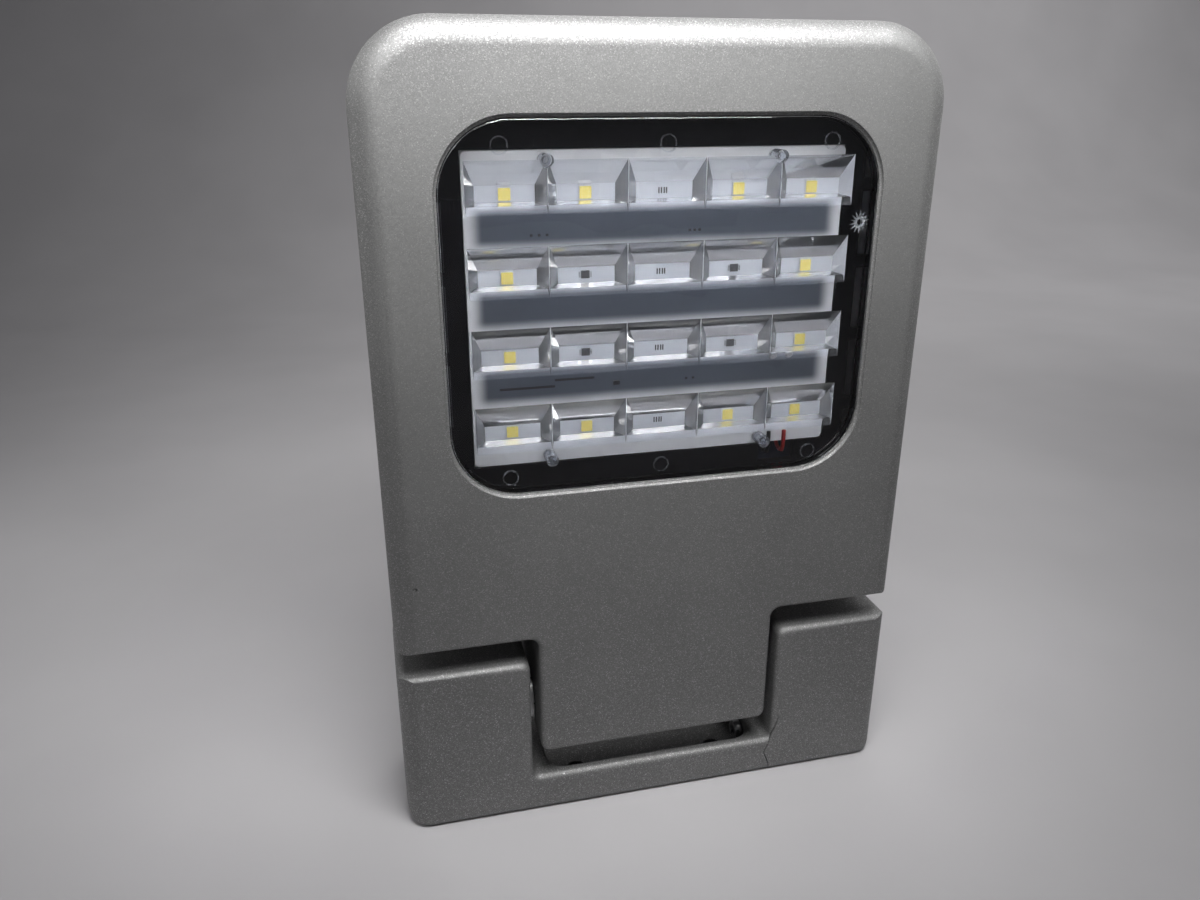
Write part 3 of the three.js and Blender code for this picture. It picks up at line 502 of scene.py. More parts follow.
def white_board():
    """White solder mask, with painted shade: soft grey strips between the rows of light sources, where the
    optics shade the board.
    """
    finish = Finish("white_board", (0.80, 0.81, 0.84), 0.5, Specular_IOR_Level=0.4)
    rows = sorted({z for x, z in optic_places()})
    pitch = rows[1] - rows[0]
    centre = rows[0] + pitch * PAINTED_SHADE_SHARE
    # Painted shade: grey strips between the rows of light sources, where the optics above shade the board.
    painted_shade = finish.painted_shade_strips(pitch, centre, PAINTED_SHADE_HALF, PAINTED_SHADE_SOFT, rows[0] + 4 * MM, rows[-1])
    white = finish.ramp(finish.flakes(16 * MM), (0.0, (0.80, 0.81, 0.84)), (1.0, (0.86, 0.87, 0.89)))
    finish.link(finish.mix(painted_shade, white, (0.10, 0.115, 0.145)), "Base Color")
    finish.bump(finish.noise(0.6 * MM, 2), 0.006 * MM, 0.4)
    return finish


def phosphor():
    """The yellow phosphor gel of a white light source. Its faint emission is a painted glow that stands for
    the gel's fluorescence under the studio lights.
    """
    # Painted glow: a faint emission standing for the gel's fluorescence.
    finish = Finish("phosphor", (0.98, 0.82, 0.2), 0.6, Specular_IOR_Level=0.25, Emission_Strength=0.12)
    finish.set("Emission Color", (1.0, 0.82, 0.12, 1))
    grain = finish.noise(0.5 * MM, 3)
    finish.drive("Base Color", grain, (0.3, (0.95, 0.74, 0.12)), (0.7, (1.0, 0.88, 0.30)))
    return finish


def steel():
    """Zinc-plated steel, brushed by handling."""
    finish = Finish("steel", (0.56, 0.57, 0.58), 0.3, 1.0)
    wear = finish.noise(2.5 * MM, 4)
    finish.drive("Roughness", wear, (0.3, 0.24), (0.75, 0.42))
    finish.drive("Base Color", wear, (0.3, (0.52, 0.53, 0.55)), (0.75, (0.60, 0.60, 0.59)))
    return finish


def cell_wrap():
    finish = Finish("cell_wrap", (0.010, 0.022, 0.05), 0.32, Coat_Weight=0.3, Coat_Roughness=0.15)
    finish.drive("Base Color", finish.noise(12 * MM, 2),
                 (0.3, (0.008, 0.018, 0.042)), (0.7, (0.012, 0.026, 0.06)))
    finish.bump(finish.noise(8 * MM, 2), 0.05 * MM, 0.3)
    return finish


def circuit_board():
    """Green solder mask over a copper pour."""
    finish = Finish("circuit_board", (0.012, 0.09, 0.03), 0.36, Coat_Weight=0.3, Coat_Roughness=0.15)
    pour = finish.flakes(5 * MM)
    finish.drive("Base Color", pour, (0.0, (0.010, 0.075, 0.026)), (1.0, (0.018, 0.12, 0.04)))
    finish.bump(pour, 0.03 * MM, 0.4)
    return finish


def panel_glass():
    """Low-iron cover glass with a faint rolled texture."""
    finish = Finish("panel_glass", (0.99, 1.0, 0.995), 0.03, Transmission_Weight=1.0, IOR=1.5)
    rolled = finish.noise(1.6 * MM, 2)
    finish.drive("Roughness", rolled, (0.3, 0.02), (0.7, 0.06))
    finish.bump(rolled, 0.01 * MM, 0.25)
    return finish


def solar_cells():
    """Dark blue silicon of a slightly varying shade, with fine printed fingers."""
    finish = Finish("solar_cells", (0.008, 0.014, 0.045), 0.22, Coat_Weight=0.6, Coat_Roughness=0.08)
    crystal = finish.noise(30 * MM, 1)
    shade = finish.ramp(crystal, (0.3, (0.006, 0.010, 0.034)), (0.7, (0.012, 0.022, 0.066)))
    finish.link(finish.mix(finish.stripes(1.6 * MM, 0.08), shade, (0.10, 0.11, 0.13)), "Base Color")
    return finish


def dark_print():
    """Dark bare laminate and component bodies on the light board."""
    finish = Finish("dark_print", (0.02, 0.02, 0.022), 0.5)
    finish.drive("Base Color", finish.noise(0.5 * MM, 3),
                 (0.3, (0.014, 0.014, 0.016)), (0.7, (0.03, 0.03, 0.032)))
    return finish


def floor_paper():
    """Matt pale paper."""
    finish = Finish("floor_paper", (0.43, 0.42, 0.43), 0.75)
    finish.drive("Base Color", finish.noise(180 * MM, 3),
                 (0.35, (0.415, 0.405, 0.415)), (0.65, (0.445, 0.435, 0.445)))
    finish.bump(finish.noise(1.5 * MM, 3), 0.02 * MM, 0.3)
    return finish


# ---------- the head's castings ----------

def head_plan(inset):
    """The head without its notches. It runs on below the tongue, where the other plan ends it."""
    below = FRONT_LOW.z - 90 * MM
    return rounded_rectangle(FRONT_LOW.x + inset, below, FRONT_HIGH.x - inset, FRONT_HIGH.z - inset,
                             HEAD_CORNER - inset, 16)


def tongue_plan(inset):
    half = TONGUE_HALF - inset
    notch = NOTCH_Z + inset
    inner = NOTCH_CORNER + inset
    outer = TONGUE_CORNER - min(inset, TONGUE_BEVEL)
    low = FRONT_LOW.z + inset
    return (arc(-half - inner, notch - inner, inner, QUARTER, 0, 8)
            + arc(-half + outer, low + outer, outer, 2 * QUARTER, 3 * QUARTER, 8)
            + arc(half - outer, low + outer, outer, -QUARTER, 0, 8)
            + arc(half + inner, notch - inner, inner, 2 * QUARTER, QUARTER, 8)
            + [(FAR, notch), (FAR, FAR), (-FAR, FAR), (-FAR, notch)])


def window_plan(grow=0.0):
    def plan(inset):
        g = grow - inset
        corner = WINDOW_CORNER + g
        return rounded_rectangle(-WINDOW_X - g, WINDOW_Z0 - g, WINDOW_X + g, WINDOW_Z1 + g, corner, 16)
    return plan


def cover_screw_places():
    """(x, z) of each screw that joins the two castings."""
    names = sorted(name for name in NODES if name.startswith("cover_screw_"))
    return [(centre.x, centre.z) for centre in map(middle, names)]


def shell(name, y0, y1, radius0, radius1, tongue0, tongue1, inset):
    """One half of the head, grown inwards by an inset."""
    sides = front_slab(name, lambda i: head_plan(i + inset), y0, y1, radius0, radius1, 10)
    tongue = front_slab("tongue", lambda i: tongue_plan(i + inset), y0, y1, tongue0, tongue1, 5)
    return common(sides, tongue)


def front_frame():
    seam = FRONT_HIGH.y
    front = FRONT_LOW.y
    casting = shell("front_frame_cast", front, seam, FRONT_FILLET, SEAM_EDGE, TONGUE_BEVEL, SEAM_EDGE, 0)
    hollow = shell("hollow", front + WALL, seam + 5 * MM, FRONT_FILLET - WALL, 0, MM, 0, WALL)
    aperture = front_slab("aperture", window_plan(), front - 5 * MM, front + WALL + MM)
    lip_end = front + WINDOW_LIP
    lip = front_slab("lip", window_plan(WINDOW_LIP), front - 5 * MM, lip_end, 0, WINDOW_LIP, 4)
    pin_x, pin_z, pin_radius = PINHOLE
    pinhole = rear_rod("pinhole", pin_radius, pin_x, front - MM, front + 0.8 * MM, pin_z, 16)
    cut(casting, hollow, aperture, lip, pinhole)
    for x, z in cover_screw_places():
        join(casting, rear_rod("boss", SCREW_POST_RADIUS, x, front + WALL - 0.5 * MM, seam, z, 24))
        cut(casting, rear_rod("hole", 2.4 * MM, x, seam - 16 * MM, seam + MM, z, 16))
    for side in (-1, 1):
        add_bush_boss(casting, side)
    return casting


def add_bush_boss(casting, side):
    """The boss in the tongue that a hinge bush sits in."""
    bush_end = side * (TONGUE_HALF - BUSH_DEPTH)
    boss = sorted((bush_end - side * 2 * MM, side * (TONGUE_HALF - MM)))
    bush = sorted((bush_end, side * (TONGUE_HALF + MM)))
    shank = sorted((bush_end - side * 5 * MM, bush_end + side * MM))
    join(casting, side_rod("boss", BUSH_RADIUS + BUSH_WALL, *boss, 0, AXIS_Z))
    cut(casting, side_rod("bore", BUSH_RADIUS, *bush, 0, AXIS_Z),
        side_rod("bore", SHANK_RADIUS, *shank, 0, AXIS_Z))


def inner_posts():
    """(x, z, radius, y) of the posts behind the heat spreader and behind the controller board."""
    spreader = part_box("heat_spreader")[1].y + GAP
    low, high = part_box("controller_board")
    posts = [(x, z, CLAMP_RADIUS, spreader) for x in (-CLAMP_X, CLAMP_X) for z in CLAMP_Z]
    for x in (low.x + POST_INSET, high.x - POST_INSET):
        posts += [(x, z, POST_RADIUS, high.y + GAP) for z in (low.z + POST_INSET, high.z - POST_INSET)]
    return posts


def seat_in_rear(casting, name, hole_radius, edge):
    """A hole through the rear wall, with a round seat for the node that sits in it."""
    low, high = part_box(name)
    x, _, z = middle(name)
    rear = REAR_HIGH.y
    radius = (high.x - low.x) / 2 + GAP
    return cut(casting, rear_rod("hole", hole_radius, x, rear - WALL - MM, rear + MM, z),
               rear_rod("seat", radius, x, rear - 2 * MM, rear + MM, z),
               rear_rod("edge", radius + edge, x, rear - edge, rear + 5 * MM, z, 48, edge))


def rear_housing():
    seam = REAR_SEAM
    rear = REAR_HIGH.y
    casting = shell("rear_housing_cast", seam, rear, SEAM_EDGE, REAR_FILLET, SEAM_EDGE, TONGUE_BEVEL, 0)
    hollow = shell("hollow", seam - 5 * MM, rear - WALL, 0, REAR_FILLET - WALL, 0, MM, WALL)
    cut(casting, hollow)
    bed = PANEL_LOW.y - GAP
    join(casting, front_slab("bed", panel_plan(WALL), bed - 2 * MM, rear - MM))
    for x, z, radius, y in inner_posts():
        join(casting, rear_rod("post", radius, x, y, bed - MM, z, 24))
    edge = 0.5 * MM
    cut(casting, front_slab("recess", panel_plan(GAP), bed, rear + 5 * MM),
        front_slab("recess_edge", panel_plan(GAP + edge), rear - edge, rear + 5 * MM, edge, 0, 3))
    for x, z in cover_screw_places():
        join(casting, rear_rod("post", SCREW_POST_RADIUS, x, seam, rear - MM, z, 24))
        cut(casting, rear_rod("hole", 2.3 * MM, x, seam - MM, rear + MM, z, 16),
            rear_rod("seat", 3.9 * MM, x, rear - 2.5 * MM, rear + MM, z, 32),
            rear_rod("seat_edge", 4.5 * MM, x, rear - edge, rear + 5 * MM, z, 32, edge))
    seat_in_rear(casting, "button_ring", BUTTON_HOLE_RADIUS, 0.6 * MM)
    return seat_in_rear(casting, "vent_plug", VENT_HOLE_RADIUS, 0.5 * MM)


def panel_plan(grow=0.0):
    def plan(inset):
        g = grow - inset
        return rounded_rectangle(PANEL_LOW.x - g, PANEL_LOW.z - g, PANEL_HIGH.x + g, PANEL_HIGH.z + g,
                                 PANEL_CORNER + g, 8)
    return plan


# ---------- the yoke ----------

def yoke_plan(inset):
    """The whole yoke in front view: two arms on one crossbar."""
    out = YOKE_HIGH.x - inset
    top = YOKE_HIGH.z - inset
    inner = ARM_INNER + inset
    bar = BAR_TOP - inset
    foot = YOKE_FOOT_CORNER - inset
    corner = ARM_CORNER - inset
    bend = BAR_CORNER + inset
    return (arc(out - foot, foot + inset, foot, -QUARTER, 0, 10)
            + arc(out - corner, top - corner, corner, 0, QUARTER, 6)
            + arc(inner + corner, top - corner, corner, QUARTER, 2 * QUARTER, 6)
            + arc(inner - bend, bar + bend, bend, 0, -QUARTER, 6)
            + arc(-inner + bend, bar + bend, bend, -QUARTER, -2 * QUARTER, 6)
            + arc(-inner - corner, top - corner, corner, 0, QUARTER, 6)
            + arc(-out + corner, top - corner, corner, QUARTER, 2 * QUARTER, 6)
            + arc(-out + foot, foot + inset, foot, 2 * QUARTER, 3 * QUARTER, 10))


def bolt_holes(casting):
    """The base's four fixing holes, and those of the two bolts that hold the castings together."""
    across, deep, radius = FIXING_HOLES
    for x in (-across, across):
        for y in (-deep, deep):
            cut(casting, upright_rod("fixing", radius, x, y, -MM, BAR_FLOOR + MM))
    for name in ("joint_bolt_1", "joint_bolt_2"):
        _, y, z = middle(name)
        past_wall = ARM_INNER + YOKE_WALL + MM
        cut(casting, side_rod("joint_hole", JOINT_HOLE_RADIUS, POCKET_HALF - MM, past_wall, y, z, 24))
    return casting


def hollow_arm(casting, side):
    """Hollows one arm, and adds the boss and the counterbore of its tilt bolt."""
    outer = YOKE_HIGH.x
    half_deep = YOKE_HIGH.y - YOKE_WALL
    x0, x1 = sorted((side * (ARM_INNER + YOKE_WALL), side * (outer - YOKE_WALL)))
    plan = rounded_rectangle(x0, -half_deep, x1, half_deep, YOKE_SIDE_FILLET - YOKE_WALL, 6)
    cut(casting, upright_column("hollow", plan, -MM, YOKE_HIGH.z - YOKE_WALL))
    join(casting, side_rod("boss", ARM_BOSS_RADIUS, x0 - MM, x1 + MM, 0, AXIS_Z))
    bevel = 0.5 * MM
    shank = sorted((side * (ARM_INNER - MM), side * (outer - YOKE_WALL)))
    head = sorted((side * (outer - TILT_HEAD_SUNK - TILT_HEAD_DEPTH - GAP), side * (outer + MM)))
    edge = sorted((side * (outer - bevel), side * (outer + 5 * MM)))
    cut(casting, side_rod("bore", SHANK_RADIUS, *shank, 0, AXIS_Z),
        side_rod("counterbore", COUNTERBORE_RADIUS, *head, 0, AXIS_Z),
        side_rod("counterbore_edge", COUNTERBORE_RADIUS + bevel, *edge, 0, AXIS_Z, 48, bevel))


def whole_yoke():
    outer = YOKE_HIGH.x
    front = YOKE_LOW.y
    rear = YOKE_HIGH.y
    plan = rounded_rectangle(-outer, front, outer, rear, YOKE_SIDE_FILLET, 12)
    sides = upright_column("yoke_cast", plan, YOKE_LOW.z, YOKE_HIGH.z)
    casting = common(sides, front_slab("body", yoke_plan, front, rear, YOKE_BEVEL, YOKE_BEVEL, 8))
    half_deep = rear - YOKE_WALL
    pocket = rounded_rectangle(-POCKET_HALF, -half_deep, POCKET_HALF, half_deep, POCKET_CORNER, 8)
    cut(casting, upright_column("pocket", pocket, BAR_FLOOR, FAR))
    for side in (-1, 1):
        hollow_arm(casting, side)
    return bolt_holes(casting)


def right_of_joint(name, shift):
    """Everything to the right of the stepped joint between the yoke's castings, moved right a distance."""
    outline = [(x * MM + shift, z * MM) for x, z in JOINT_STEP]
    top = outline[0][1]
    bottom = outline[-1][1]
    edge = ARM_INNER - 2 * MM
    outline += [(FAR, bottom), (FAR, FAR), (edge, FAR), (edge, top)]
    return loft(name, [[(x, y, z) for x, z in outline] for y in (2 * YOKE_LOW.y, 2 * YOKE_HIGH.y)])


def yoke_castings():
    left = whole_yoke()
    right = left.copy()
    right.data = left.data.copy()
    right.name = "yoke_right_cast"
    bpy.context.scene.collection.objects.link(right)
    left.name = "yoke_left_cast"
    cut(left, right_of_joint("right_side", 0))
    common(right, right_of_joint("right_side", JOINT_GAP))
    return left, right


# ---------- lens ----------

def light_sources():
    return [name for name in sorted(NODES) if name.startswith("led_") and name != "led_board"]


def optic_places():
    """(x, z) of each optic: those of the light sources, and the empty places between them."""
    centres = [middle(name) for name in light_sources()]
    columns = sorted({round(centre.x, 5) for centre in centres} | {0.0})
    rows = sorted({round(centre.z, 5) for centre in centres}, reverse=True)
    return [(x, z) for z in rows for x in columns]


def optic(x, z, base, tip):
    """A clear block that tapers towards the light source, with a shallow step next to the plate."""
    sections = ((base, OPTIC_WIDE), (base + OPTIC_STEP, OPTIC_WAIST), (tip, OPTIC_NARROW))
    rings = []
    for y, (half, down, up) in sections:
        left, right, low, high = x - half, x + half, z - down, z + up
        rings.append([(left, y, low), (right, y, low), (right, y, high), (left, y, high)])
    return loft("optic", rings)


def gate_mark(x, z, y):
    """The star left by the moulding gate, open in its middle."""
    points = []
    for i in range(2 * GATE_POINTS):
        radius = GATE_RADII[i % 2]
        turn = math.pi * i / GATE_POINTS
        points.append((x + radius * math.cos(turn), z + radius * math.sin(turn)))
    levels = (y - 0.2 * MM, y + 0.35 * MM)
    star = loft("gate_mark", [[(a, level, b) for a, b in points] for level in levels])
    return cut(star, rear_rod("middle", GATE_HOLE_RADIUS, x, y - MM, y + MM, z, 16))


def locating_boss(name, y0):
    """A hollow clear boss that reaches back towards a board screw."""
    x, _, z = middle(name)
    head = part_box(name)[0].y
    boss = rear_rod("boss", 2.5 * MM, x, y0 - 0.3 * MM, head - 0.5 * MM, z, 32)
    return cut(boss, rear_rod("hollow", 1.4 * MM, x, y0 + 0.8 * MM, head + MM, z, 32))


def give(solid, materials, index):
    """Gives a part all of the lens's materials, so that its faces keep theirs when it is joined on."""
    solid.data.materials.clear()
    for material in materials:
        solid.data.materials.append(material)
    for polygon in solid.data.polygons:
        polygon.material_index = index
    return solid


def round_mark(x, z, y):
    """The ring left by an ejector pin."""
    mark = rear_rod("mark", 3.3 * MM, x, y - 0.3 * MM, y + 0.3 * MM, z, 32)
    return cut(mark, rear_rod("middle", 2.8 * MM, x, y - MM, y + MM, z, 32))


def lens_plate(*materials):
    """The lens: the first material is its plate's, the second its optics', the third its gate's star's."""
    clearance = 0.5 * MM
    back = FRONT_LOW.y + LENS_THICK
    flange_face = FRONT_LOW.y + FLANGE_FRONT
    lens = front_slab("lens_plate_clear", window_plan(-clearance), LENS_LOW.y, back, 0.5 * MM, 0, 5)
    flange = front_slab("flange", window_plan(FLANGE_REACH), flange_face, flange_face + FLANGE_THICK)
    cut(flange, front_slab("opening", window_plan(-1.5 * MM), LENS_LOW.y, flange_face + 5 * MM))
    join(lens, flange)
    give(lens, materials, 0)
    for x, z in optic_places():
        join(lens, give(optic(x, z, back - 0.2 * MM, LENS_HIGH.y), materials, 1))
    for x in RING_MARKS_X:
        for z in RING_MARKS_Z:
            join(lens, give(round_mark(x, z, back), materials, 1))
    for name in sorted(NODES):
        if name.startswith("board_screw_"):
            join(lens, give(locating_boss(name, back), materials, 1))
    return join(lens, give(gate_mark(*GATE_PLACE, back), materials, 2))


# ---------- light board ----------

def gathered(name, solids):
    """Several separate solids as one object."""
    bm = bmesh.new()
    for solid in solids:
        bm.from_mesh(solid.data)
        waste = solid.data
        bpy.data.objects.remove(solid)
        bpy.data.meshes.remove(waste)
    return new_object(name, bm)


def chip(x, z, width, height, thick):
    """A small rectangular part lying on the light board."""
    low = (x - width / 2, BOARD_LOW.y - thick, z - height / 2)
    high = (x + width / 2, BOARD_LOW.y, z + height / 2)
    return block("chip", low, high)


def empty_places():
    """Optic places that have no light source."""
    taken = [middle(name) for name in light_sources()]
    return [(x, z) for x, z in optic_places()
            if not any(abs(centre.x - x) < 5 * MM and abs(centre.z - z) < 5 * MM for centre in taken)]


def board_print():
    """Bare dark footprints where no light source is fitted, and other small dark marks."""
    marks = []
    for x, z in empty_places():
        if abs(x) > MM:
            marks.append(chip(x, z, 3.4 * MM, 3.0 * MM, PRINT_THICK))
        else:
            for dx in (-1.5, -0.5, 0.6, 1.5):
                marks.append(chip(x + dx * MM, z, 0.55 * MM, 2.2 * MM, PRINT_THICK))
    for x, z in PRINT_DOTS:
        marks.append(chip(x * MM, z * MM, 1.1 * MM, MM, PRINT_THICK))
    for x0, x1, z in PRINT_LINES:
        marks.append(chip((x0 + x1) / 2 * MM, z * MM, (x1 - x0) * MM, MM, 0.05 * MM))
    marks.append(chip(*PRINT_CHIP, 2.6 * MM, 1.7 * MM, 0.7 * MM))
    return gathered("board_print", marks)


def board_pads():
    """Tinned pads on both sides of the empty footprints."""
    pads = []
    for x, z in empty_places():
        if abs(x) > MM:
            for dx in (-2.2, 2.2):
                pads.append(chip(x + dx * MM, z, 0.7 * MM, 2.2 * MM, 0.07 * MM))
    return gathered("board_pads", pads)


def solder_joint(x, z):
    return rear_rod("joint", 1.7 * MM, x, BOARD_LOW.y - 1.2 * MM, BOARD_LOW.y, z, 24, 0.9 * MM)


def lead_joints():
    """Solder where the two leads end on the board."""
    joints = [solder_joint(x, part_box(name)[1].z + 0.3 * MM) for name, x in LEAD_ENDS]
    return gathered("lead_joints", joints)


def square(x, z, half, corner, steps):
    return rounded_rectangle(x - half, z - half, x + half, z + half, corner, steps)


def led_shape(name, low, high):
    """The white package, and the phosphor gel on it as a piece of its own."""
    x = (low.x + high.x) / 2
    z = (low.z + high.z) / 2
    half = (high.x - low.x) / 2
    gel_half = half - 0.25 * MM
    body = front_slab(name, lambda i: square(x, z, half - i, 0.35 * MM, 4),
                      low.y + 0.25 * MM, high.y, 0.15 * MM, 0, 3)
    gel = front_slab(name + "_gel", lambda i: square(x, z, gel_half - i, 0.5 * MM - i, 6),
                     low.y, high.y - 0.3 * MM, 0.2 * MM, 0, 4)
    return body, gel


# ---------- solar panel ----------

def cell_grid():
    """(x0, z0, x1, z1) of every cell behind the glass."""
    columns = 3
    rows = 6
    margin = 2.5 * MM
    space = 1.6 * MM
    wide = (SHEET_HIGH.x - SHEET_LOW.x - 2 * margin + space) / columns
    high = (SHEET_HIGH.z - SHEET_LOW.z - 2 * margin + space) / rows
    cells = []
    for row in range(rows):
        for column in range(columns):
            x = SHEET_LOW.x + margin + column * wide
            z = SHEET_LOW.z + margin + row * high
            cells.append((x, z, x + wide - space, z + high - space))
    return cells


def solar_cell(x0, z0, x1, z1):
    cut_corner = 2.4 * MM
    face = SHEET_HIGH.y
    outline = [(x0 + cut_corner, z0), (x1 - cut_corner, z0), (x1, z0 + cut_corner), (x1, z1 - cut_corner),
               (x1 - cut_corner, z1), (x0 + cut_corner, z1), (x0, z1 - cut_corner), (x0, z0 + cut_corner)]
    return loft("cell", [[(x, y, z) for x, z in outline] for y in (face - 0.3 * MM, face)])


def panel_backing():
    outline = rounded_rectangle(SHEET_LOW.x, SHEET_LOW.z, SHEET_HIGH.x, SHEET_HIGH.z, MM, 4)
    return front_slab("panel_backing", lambda i: outline, SHEET_LOW.y, SHEET_HIGH.y - 0.25 * MM)


def busbars():
    """Two thin metal bars across each cell."""
    y = SHEET_HIGH.y
    bars = []
    for x0, z0, x1, z1 in cell_grid():
        for share in BUSBAR_SHARES:
            z = z0 + (z1 - z0) * share
            low = (x0 - BUSBAR_PAST, y - 0.1 * MM, z - BUSBAR_HALF)
            high = (x1 + BUSBAR_PAST, y + 0.06 * MM, z + BUSBAR_HALF)
            bars.append(block("bar", low, high))
    return gathered("busbars", bars)


# ---------- button ----------

def button_cap():
    """The push-button: a flat cap with a raised ring to feel for."""
    x, _, z = middle("power_button")
    top = BUTTON_HIGH.y
    cap = rear_rod("button_cap", 8 * MM, x, top - 3.1 * MM, top - 0.35 * MM, z, 64, 0, 0.6 * MM)
    flange = rear_rod("flange", 9.6 * MM, x, top - 4.1 * MM, top - 2.9 * MM, z, 64)
    stem = rear_rod("stem", 3 * MM, x, BUTTON_LOW.y, top - 3.5 * MM, z, 32)
    ring = rear_rod("ring", 5.2 * MM, x, top - 0.9 * MM, top, z, 64, 0, 0.25 * MM)
    cut(ring, rear_rod("ring_hole", 4.2 * MM, x, top - 2 * MM, top + MM, z, 64))
    return join(cap, flange, stem, ring)


def button_ring():
    x, _, z = middle("button_ring")
    low, high = RING_LOW, RING_HIGH
    ring = rear_rod("button_ring_round", (high.x - low.x) / 2, x, low.y, high.y, z, 64, 0, 0.5 * MM)
    return cut(ring, rear_rod("hole", BUTTON_HOLE_RADIUS, x, low.y - MM, high.y + MM, z, 64))


# ---------- screws ----------

def turned(name, axis, centre, profile, sides=48):
    """A solid of revolution through (distance along the axis, radius) points, from one end to the other."""
    first, second = [key for key in "xyz" if key != axis]
    rings = []
    for along, radius in profile:
        ring = []
        for a, b in circle(getattr(centre, first), getattr(centre, second), radius, sides):
            point = {axis: along, first: a, second: b}
            ring.append((point["x"], point["y"], point["z"]))
        rings.append(ring)
    return loft(name, rings)


# start of the name, body, axis, way the head faces, depth of the head, radius of the shank
SCREWS = (("board_screw_", "head", "y", -1, 1.3 * MM, 1.2 * MM),
          ("cover_screw_", "head", "y", 1, 1.8 * MM, 2 * MM),
          ("joint_bolt_", "yoke", "x", -1, 3.4 * MM, 3 * MM),
          ("tilt_bolt_left", "yoke", "x", -1, TILT_HEAD_DEPTH, 5 * MM),
          ("tilt_bolt_right", "yoke", "x", 1, TILT_HEAD_DEPTH, 5 * MM))


def socket_screw(name, axis, outward, head_deep, shank_radius):
    """A cap screw in place of a CAD screw: its head's rim is turned round, and its socket is hexagonal."""
    low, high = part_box(name)
    centre = (low + high) / 2
    across = next(key for key in "xyz" if key != axis)
    radius = (getattr(high, across) - getattr(low, across)) / 2
    top, end = getattr(high, axis), getattr(low, axis)
    if outward < 0:
        top, end = end, top
    edge = min(0.6 * MM, head_deep * 0.3)
    under = top - outward * head_deep
    turns = [QUARTER * i / 4 for i in range(5)]
    rounding = [(edge * (1 - math.sin(t)), edge * (1 - math.cos(t))) for t in turns]
    profile = [(top - outward * down, radius - inset) for down, inset in reversed(rounding)]
    profile += [(under + outward * 0.2 * MM, radius), (under, radius - 0.2 * MM), (under, shank_radius)]
    profile += [(end + outward * 0.4 * MM, shank_radius), (end, shank_radius - 0.4 * MM)]
    if outward > 0:
        profile.reverse()
    screw = turned(name + "_turned", axis, centre, profile)
    bottom = top - outward * head_deep * 0.6
    past = top + outward * MM
    levels = sorted((bottom, past))
    socket = turned("socket", axis, centre, [(level, radius * 0.5) for level in levels], 6)
    mouth = sorted((top - outward * edge * 0.5, past))
    wider = radius * 0.5 + edge * 0.4
    bevel = turned("mouth", axis, centre, [(level, wider) for level in mouth], 48)
    return cut(screw, socket, bevel)


# ---------- putting it together ----------

COAT = powder_coat()
MOULDING = black_moulding()
RUBBER = rubber()
STEEL = steel()
PHOSPHOR = phosphor()
SOLDER = grained("solder", (0.55, 0.55, 0.56), 1, 0.5 * MM, 3, (0.2, 0.45))
FERRITE = grained("ferrite", (0.03, 0.031, 0.034), 0, 0.5 * MM, 4, (0.5, 0.72), 0.02 * MM)
BLACK_SLEEVE = grained("black_sleeve", (0.012, 0.012, 0.014), 0, 4 * MM, 2, (0.28, 0.42), 0.02 * MM)
RED_SLEEVE = grained("red_sleeve", (0.42, 0.012, 0.012), 0, 4 * MM, 2, (0.28, 0.42), 0.02 * MM)
LED_BODY = grained("led_body", (0.85, 0.85, 0.84), 0, 0.8 * MM, 2, (0.3, 0.42))
BACKING = grained("cell_backing", (0.02, 0.021, 0.024), 0, 2 * MM, 3, (0.42, 0.6))
BUSBAR = grained("busbar", (0.62, 0.63, 0.64), 1, 1.5 * MM, 3, (0.26, 0.42))
BUTTON = grained("button_plastic", (0.05, 0.051, 0.055), 0, 0.3 * MM, 3, (0.34, 0.5), 0.012 * MM)
ROLLED = grained("aluminium_plate", (0.72, 0.72, 0.73), 1, 0.8 * MM, 3, (0.28, 0.44), 0.01 * MM, 0.4, 0.04)
ANODISED = grained("black_anodised", (0.022, 0.022, 0.024), 0.55, 0.7 * MM, 3, (0.32, 0.48), 0.008 * MM,
                   0.4, 0.05)

place(smooth(front_frame()), COAT, "head", "silver_powder_coat", "front_frame")
place(smooth(rear_housing()), COAT, "head", "silver_powder_coat", "rear_housing")
yoke_left, yoke_right = yoke_castings()
place(smooth(yoke_left), COAT, "yoke", "silver_powder_coat", "yoke_left")
place(smooth(yoke_right), COAT, "yoke", "silver_powder_coat", "yoke_right")
CLEAR = acrylic("clear_lens", (0.985, 0.988, 1.0), 1.0)
MILKY = acrylic("milky_optics", (0.88, 0.92, 1.0), 0.91)
FROSTED = acrylic("frosted_gate_mark", (0.90, 0.94, 1.0), 0.7)
LENS = lens_plate(CLEAR.material, MILKY.material, FROSTED.material)
put(smooth(LENS, 12), "head", "clear_lens", "lens_plate")

for name in light_sources():
    body, gel = led_shape(name + "_package", *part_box(name))
    place(smooth(body), LED_BODY, "head", "white_board", name)
    place(smooth(gel), PHOSPHOR, "head", "phosphor", name)

place(board_print(), dark_print(), "head", "black_plastic")
place(board_pads(), SOLDER, "head", "steel")
place(smooth(lead_joints()), SOLDER, "head", "steel")
place(smooth(panel_backing()), BACKING, "head", "solar_cells", "cell_sheet")
place(gathered("solar_cells_grid", [solar_cell(*cell) for cell in cell_grid()]), solar_cells(), "head",
      "solar_cells", "cell_sheet")
place(busbars(), BUSBAR, "head", "steel", "cell_sheet")
place(smooth(button_cap()), BUTTON, "button", "button_plastic", "power_button")
place(smooth(button_ring()), RUBBER, "head", "black_rubber", "button_ring")

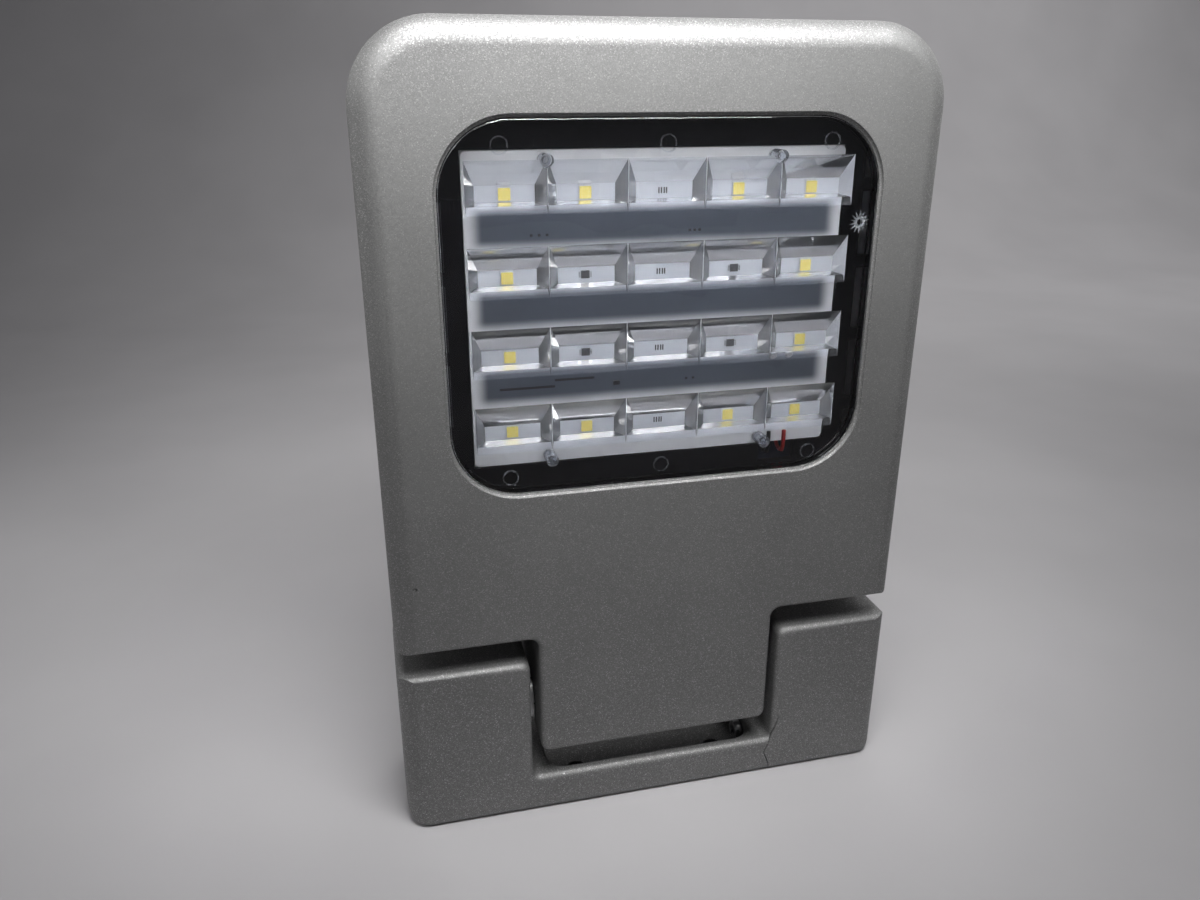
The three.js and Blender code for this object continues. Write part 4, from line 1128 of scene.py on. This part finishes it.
polish("led_board", white_board())
polish("heat_spreader", ROLLED)
for name in ("light_tray", "battery_holder", "button_switch", "vent_plug", "terminal_block"):
    polish(name, MOULDING)
polish("housing_seal", RUBBER, 0)
polish("window_gasket", RUBBER, 0)
polish("controller_board", circuit_board(), 0.1 * MM)
polish("controller_inductor", FERRITE)
polish("red_lead", RED_SLEEVE, 0)
polish("black_lead", BLACK_SLEEVE, 0)
polish("panel_lead", BLACK_SLEEVE, 0)
polish("panel_frame", ANODISED, 0.4 * MM)
polish("panel_glass", panel_glass(), 0.2 * MM)
CELL_WRAP = cell_wrap()
for name in sorted(NODES):
    if name.startswith("battery_cell_"):
        polish(name, CELL_WRAP, 0.5 * MM)
    elif name.startswith(("friction_washer_", "hinge_bush_")):
        polish(name, STEEL)
    for start, body, *shape in SCREWS:
        if name.startswith(start):
            place(smooth(socket_screw(name, *shape)), STEEL, body, "steel", name)


# ---------- studio ----------

def area_light(name, place, target, size, power):
    """A rectangular light at a place, turned to a target. Its power is in watts."""
    data = bpy.data.lights.new(name, "AREA")
    data.shape = "RECTANGLE"
    data.size, data.size_y = size
    data.energy = power
    light = bpy.data.objects.new(name, data)
    light.location = place
    light.rotation_euler = (Vector(target) - Vector(place)).to_track_quat("-Z", "Y").to_euler()
    bpy.context.scene.collection.objects.link(light)
    return light


def studio_floor():
    """A paper sweep: flat under the lamp, curving up well behind it."""
    back = 1.7
    radius = 0.7
    profile = [(-2.5, 0.0)] + [(back - radius + radius * math.sin(t), radius - radius * math.cos(t))
                               for t in [QUARTER * i / 16 for i in range(17)]] + [(back, 2.6)]
    bm = bmesh.new()
    columns = [[bm.verts.new((x, y, z)) for y, z in profile] for x in (-3, 3)]
    for i in range(len(profile) - 1):
        bm.faces.new((columns[0][i], columns[1][i], columns[1][i + 1], columns[0][i + 1]))
    floor = new_object("studio_floor", bm)
    for polygon in floor.data.polygons:
        polygon.use_smooth = True
    floor.data.materials.append(floor_paper().material)


def pale_world():
    world = bpy.data.worlds.new("studio_air")
    world.use_nodes = True
    sky = world.node_tree.nodes["Background"]
    sky.inputs["Color"].default_value = (0.93, 0.94, 1.0, 1)
    sky.inputs["Strength"].default_value = 0.085
    bpy.context.scene.world = world


def photo_camera():
    """The photo's viewing angle: from the left and above, close to the lamp."""
    looks_down = math.radians(21.07)
    looks_right = math.radians(13.89)
    data = bpy.data.cameras.new("camera")
    data.lens = 28.44
    data.sensor_width = 36
    data.clip_start = 0.01
    camera = bpy.data.objects.new("camera", data)
    camera.location = (-0.1109, -0.3699, 0.3082)
    camera.rotation_euler = (QUARTER - looks_down, 0, -looks_right)
    bpy.context.scene.collection.objects.link(camera)
    bpy.context.scene.camera = camera


studio_floor()
pale_world()
photo_camera()
bpy.context.scene.view_settings.view_transform = "Standard"
key = area_light("key_light", (0.0, -0.18, 0.53), (0, 0.0, 0.22), (0.32, 0.22), 0.82)
key.data.spread = math.radians(100)
strip = area_light("light_strip", (0.0, -0.17, 0.50), (0, -0.03, 0.335), (0.30, 0.05), 0.34)
strip.data.spread = math.radians(70)
area_light("rear_fill", (0.3, 0.95, 0.95), (0, 0, 0.15), (1.0, 0.6), 2.4)
area_light("left_wall", (-0.5, 0.16, 0.42), (0, 0.1, 0.25), (0.5, 0.5), 0.8)
area_light("right_wall", (0.5, 0.16, 0.42), (0, 0.1, 0.25), (0.5, 0.5), 0.38)
area_light("left_wing", (-0.8, -0.35, 0.45), (0.0, 0.0, 0.25), (0.9, 0.8), 0.25)
area_light("right_wing", (0.8, -0.35, 0.45), (0.0, 0.0, 0.25), (0.9, 0.8), 0.25)
area_light("front_panel", (0.45, -1.5, 0.38), (0.0, 0.0, 0.2), (1.3, 0.14), 0.3)
area_light("backdrop_light", (1.0, 0.75, 1.1), (1.0, 1.5, 0.2), (1.6, 0.4), 10.5)
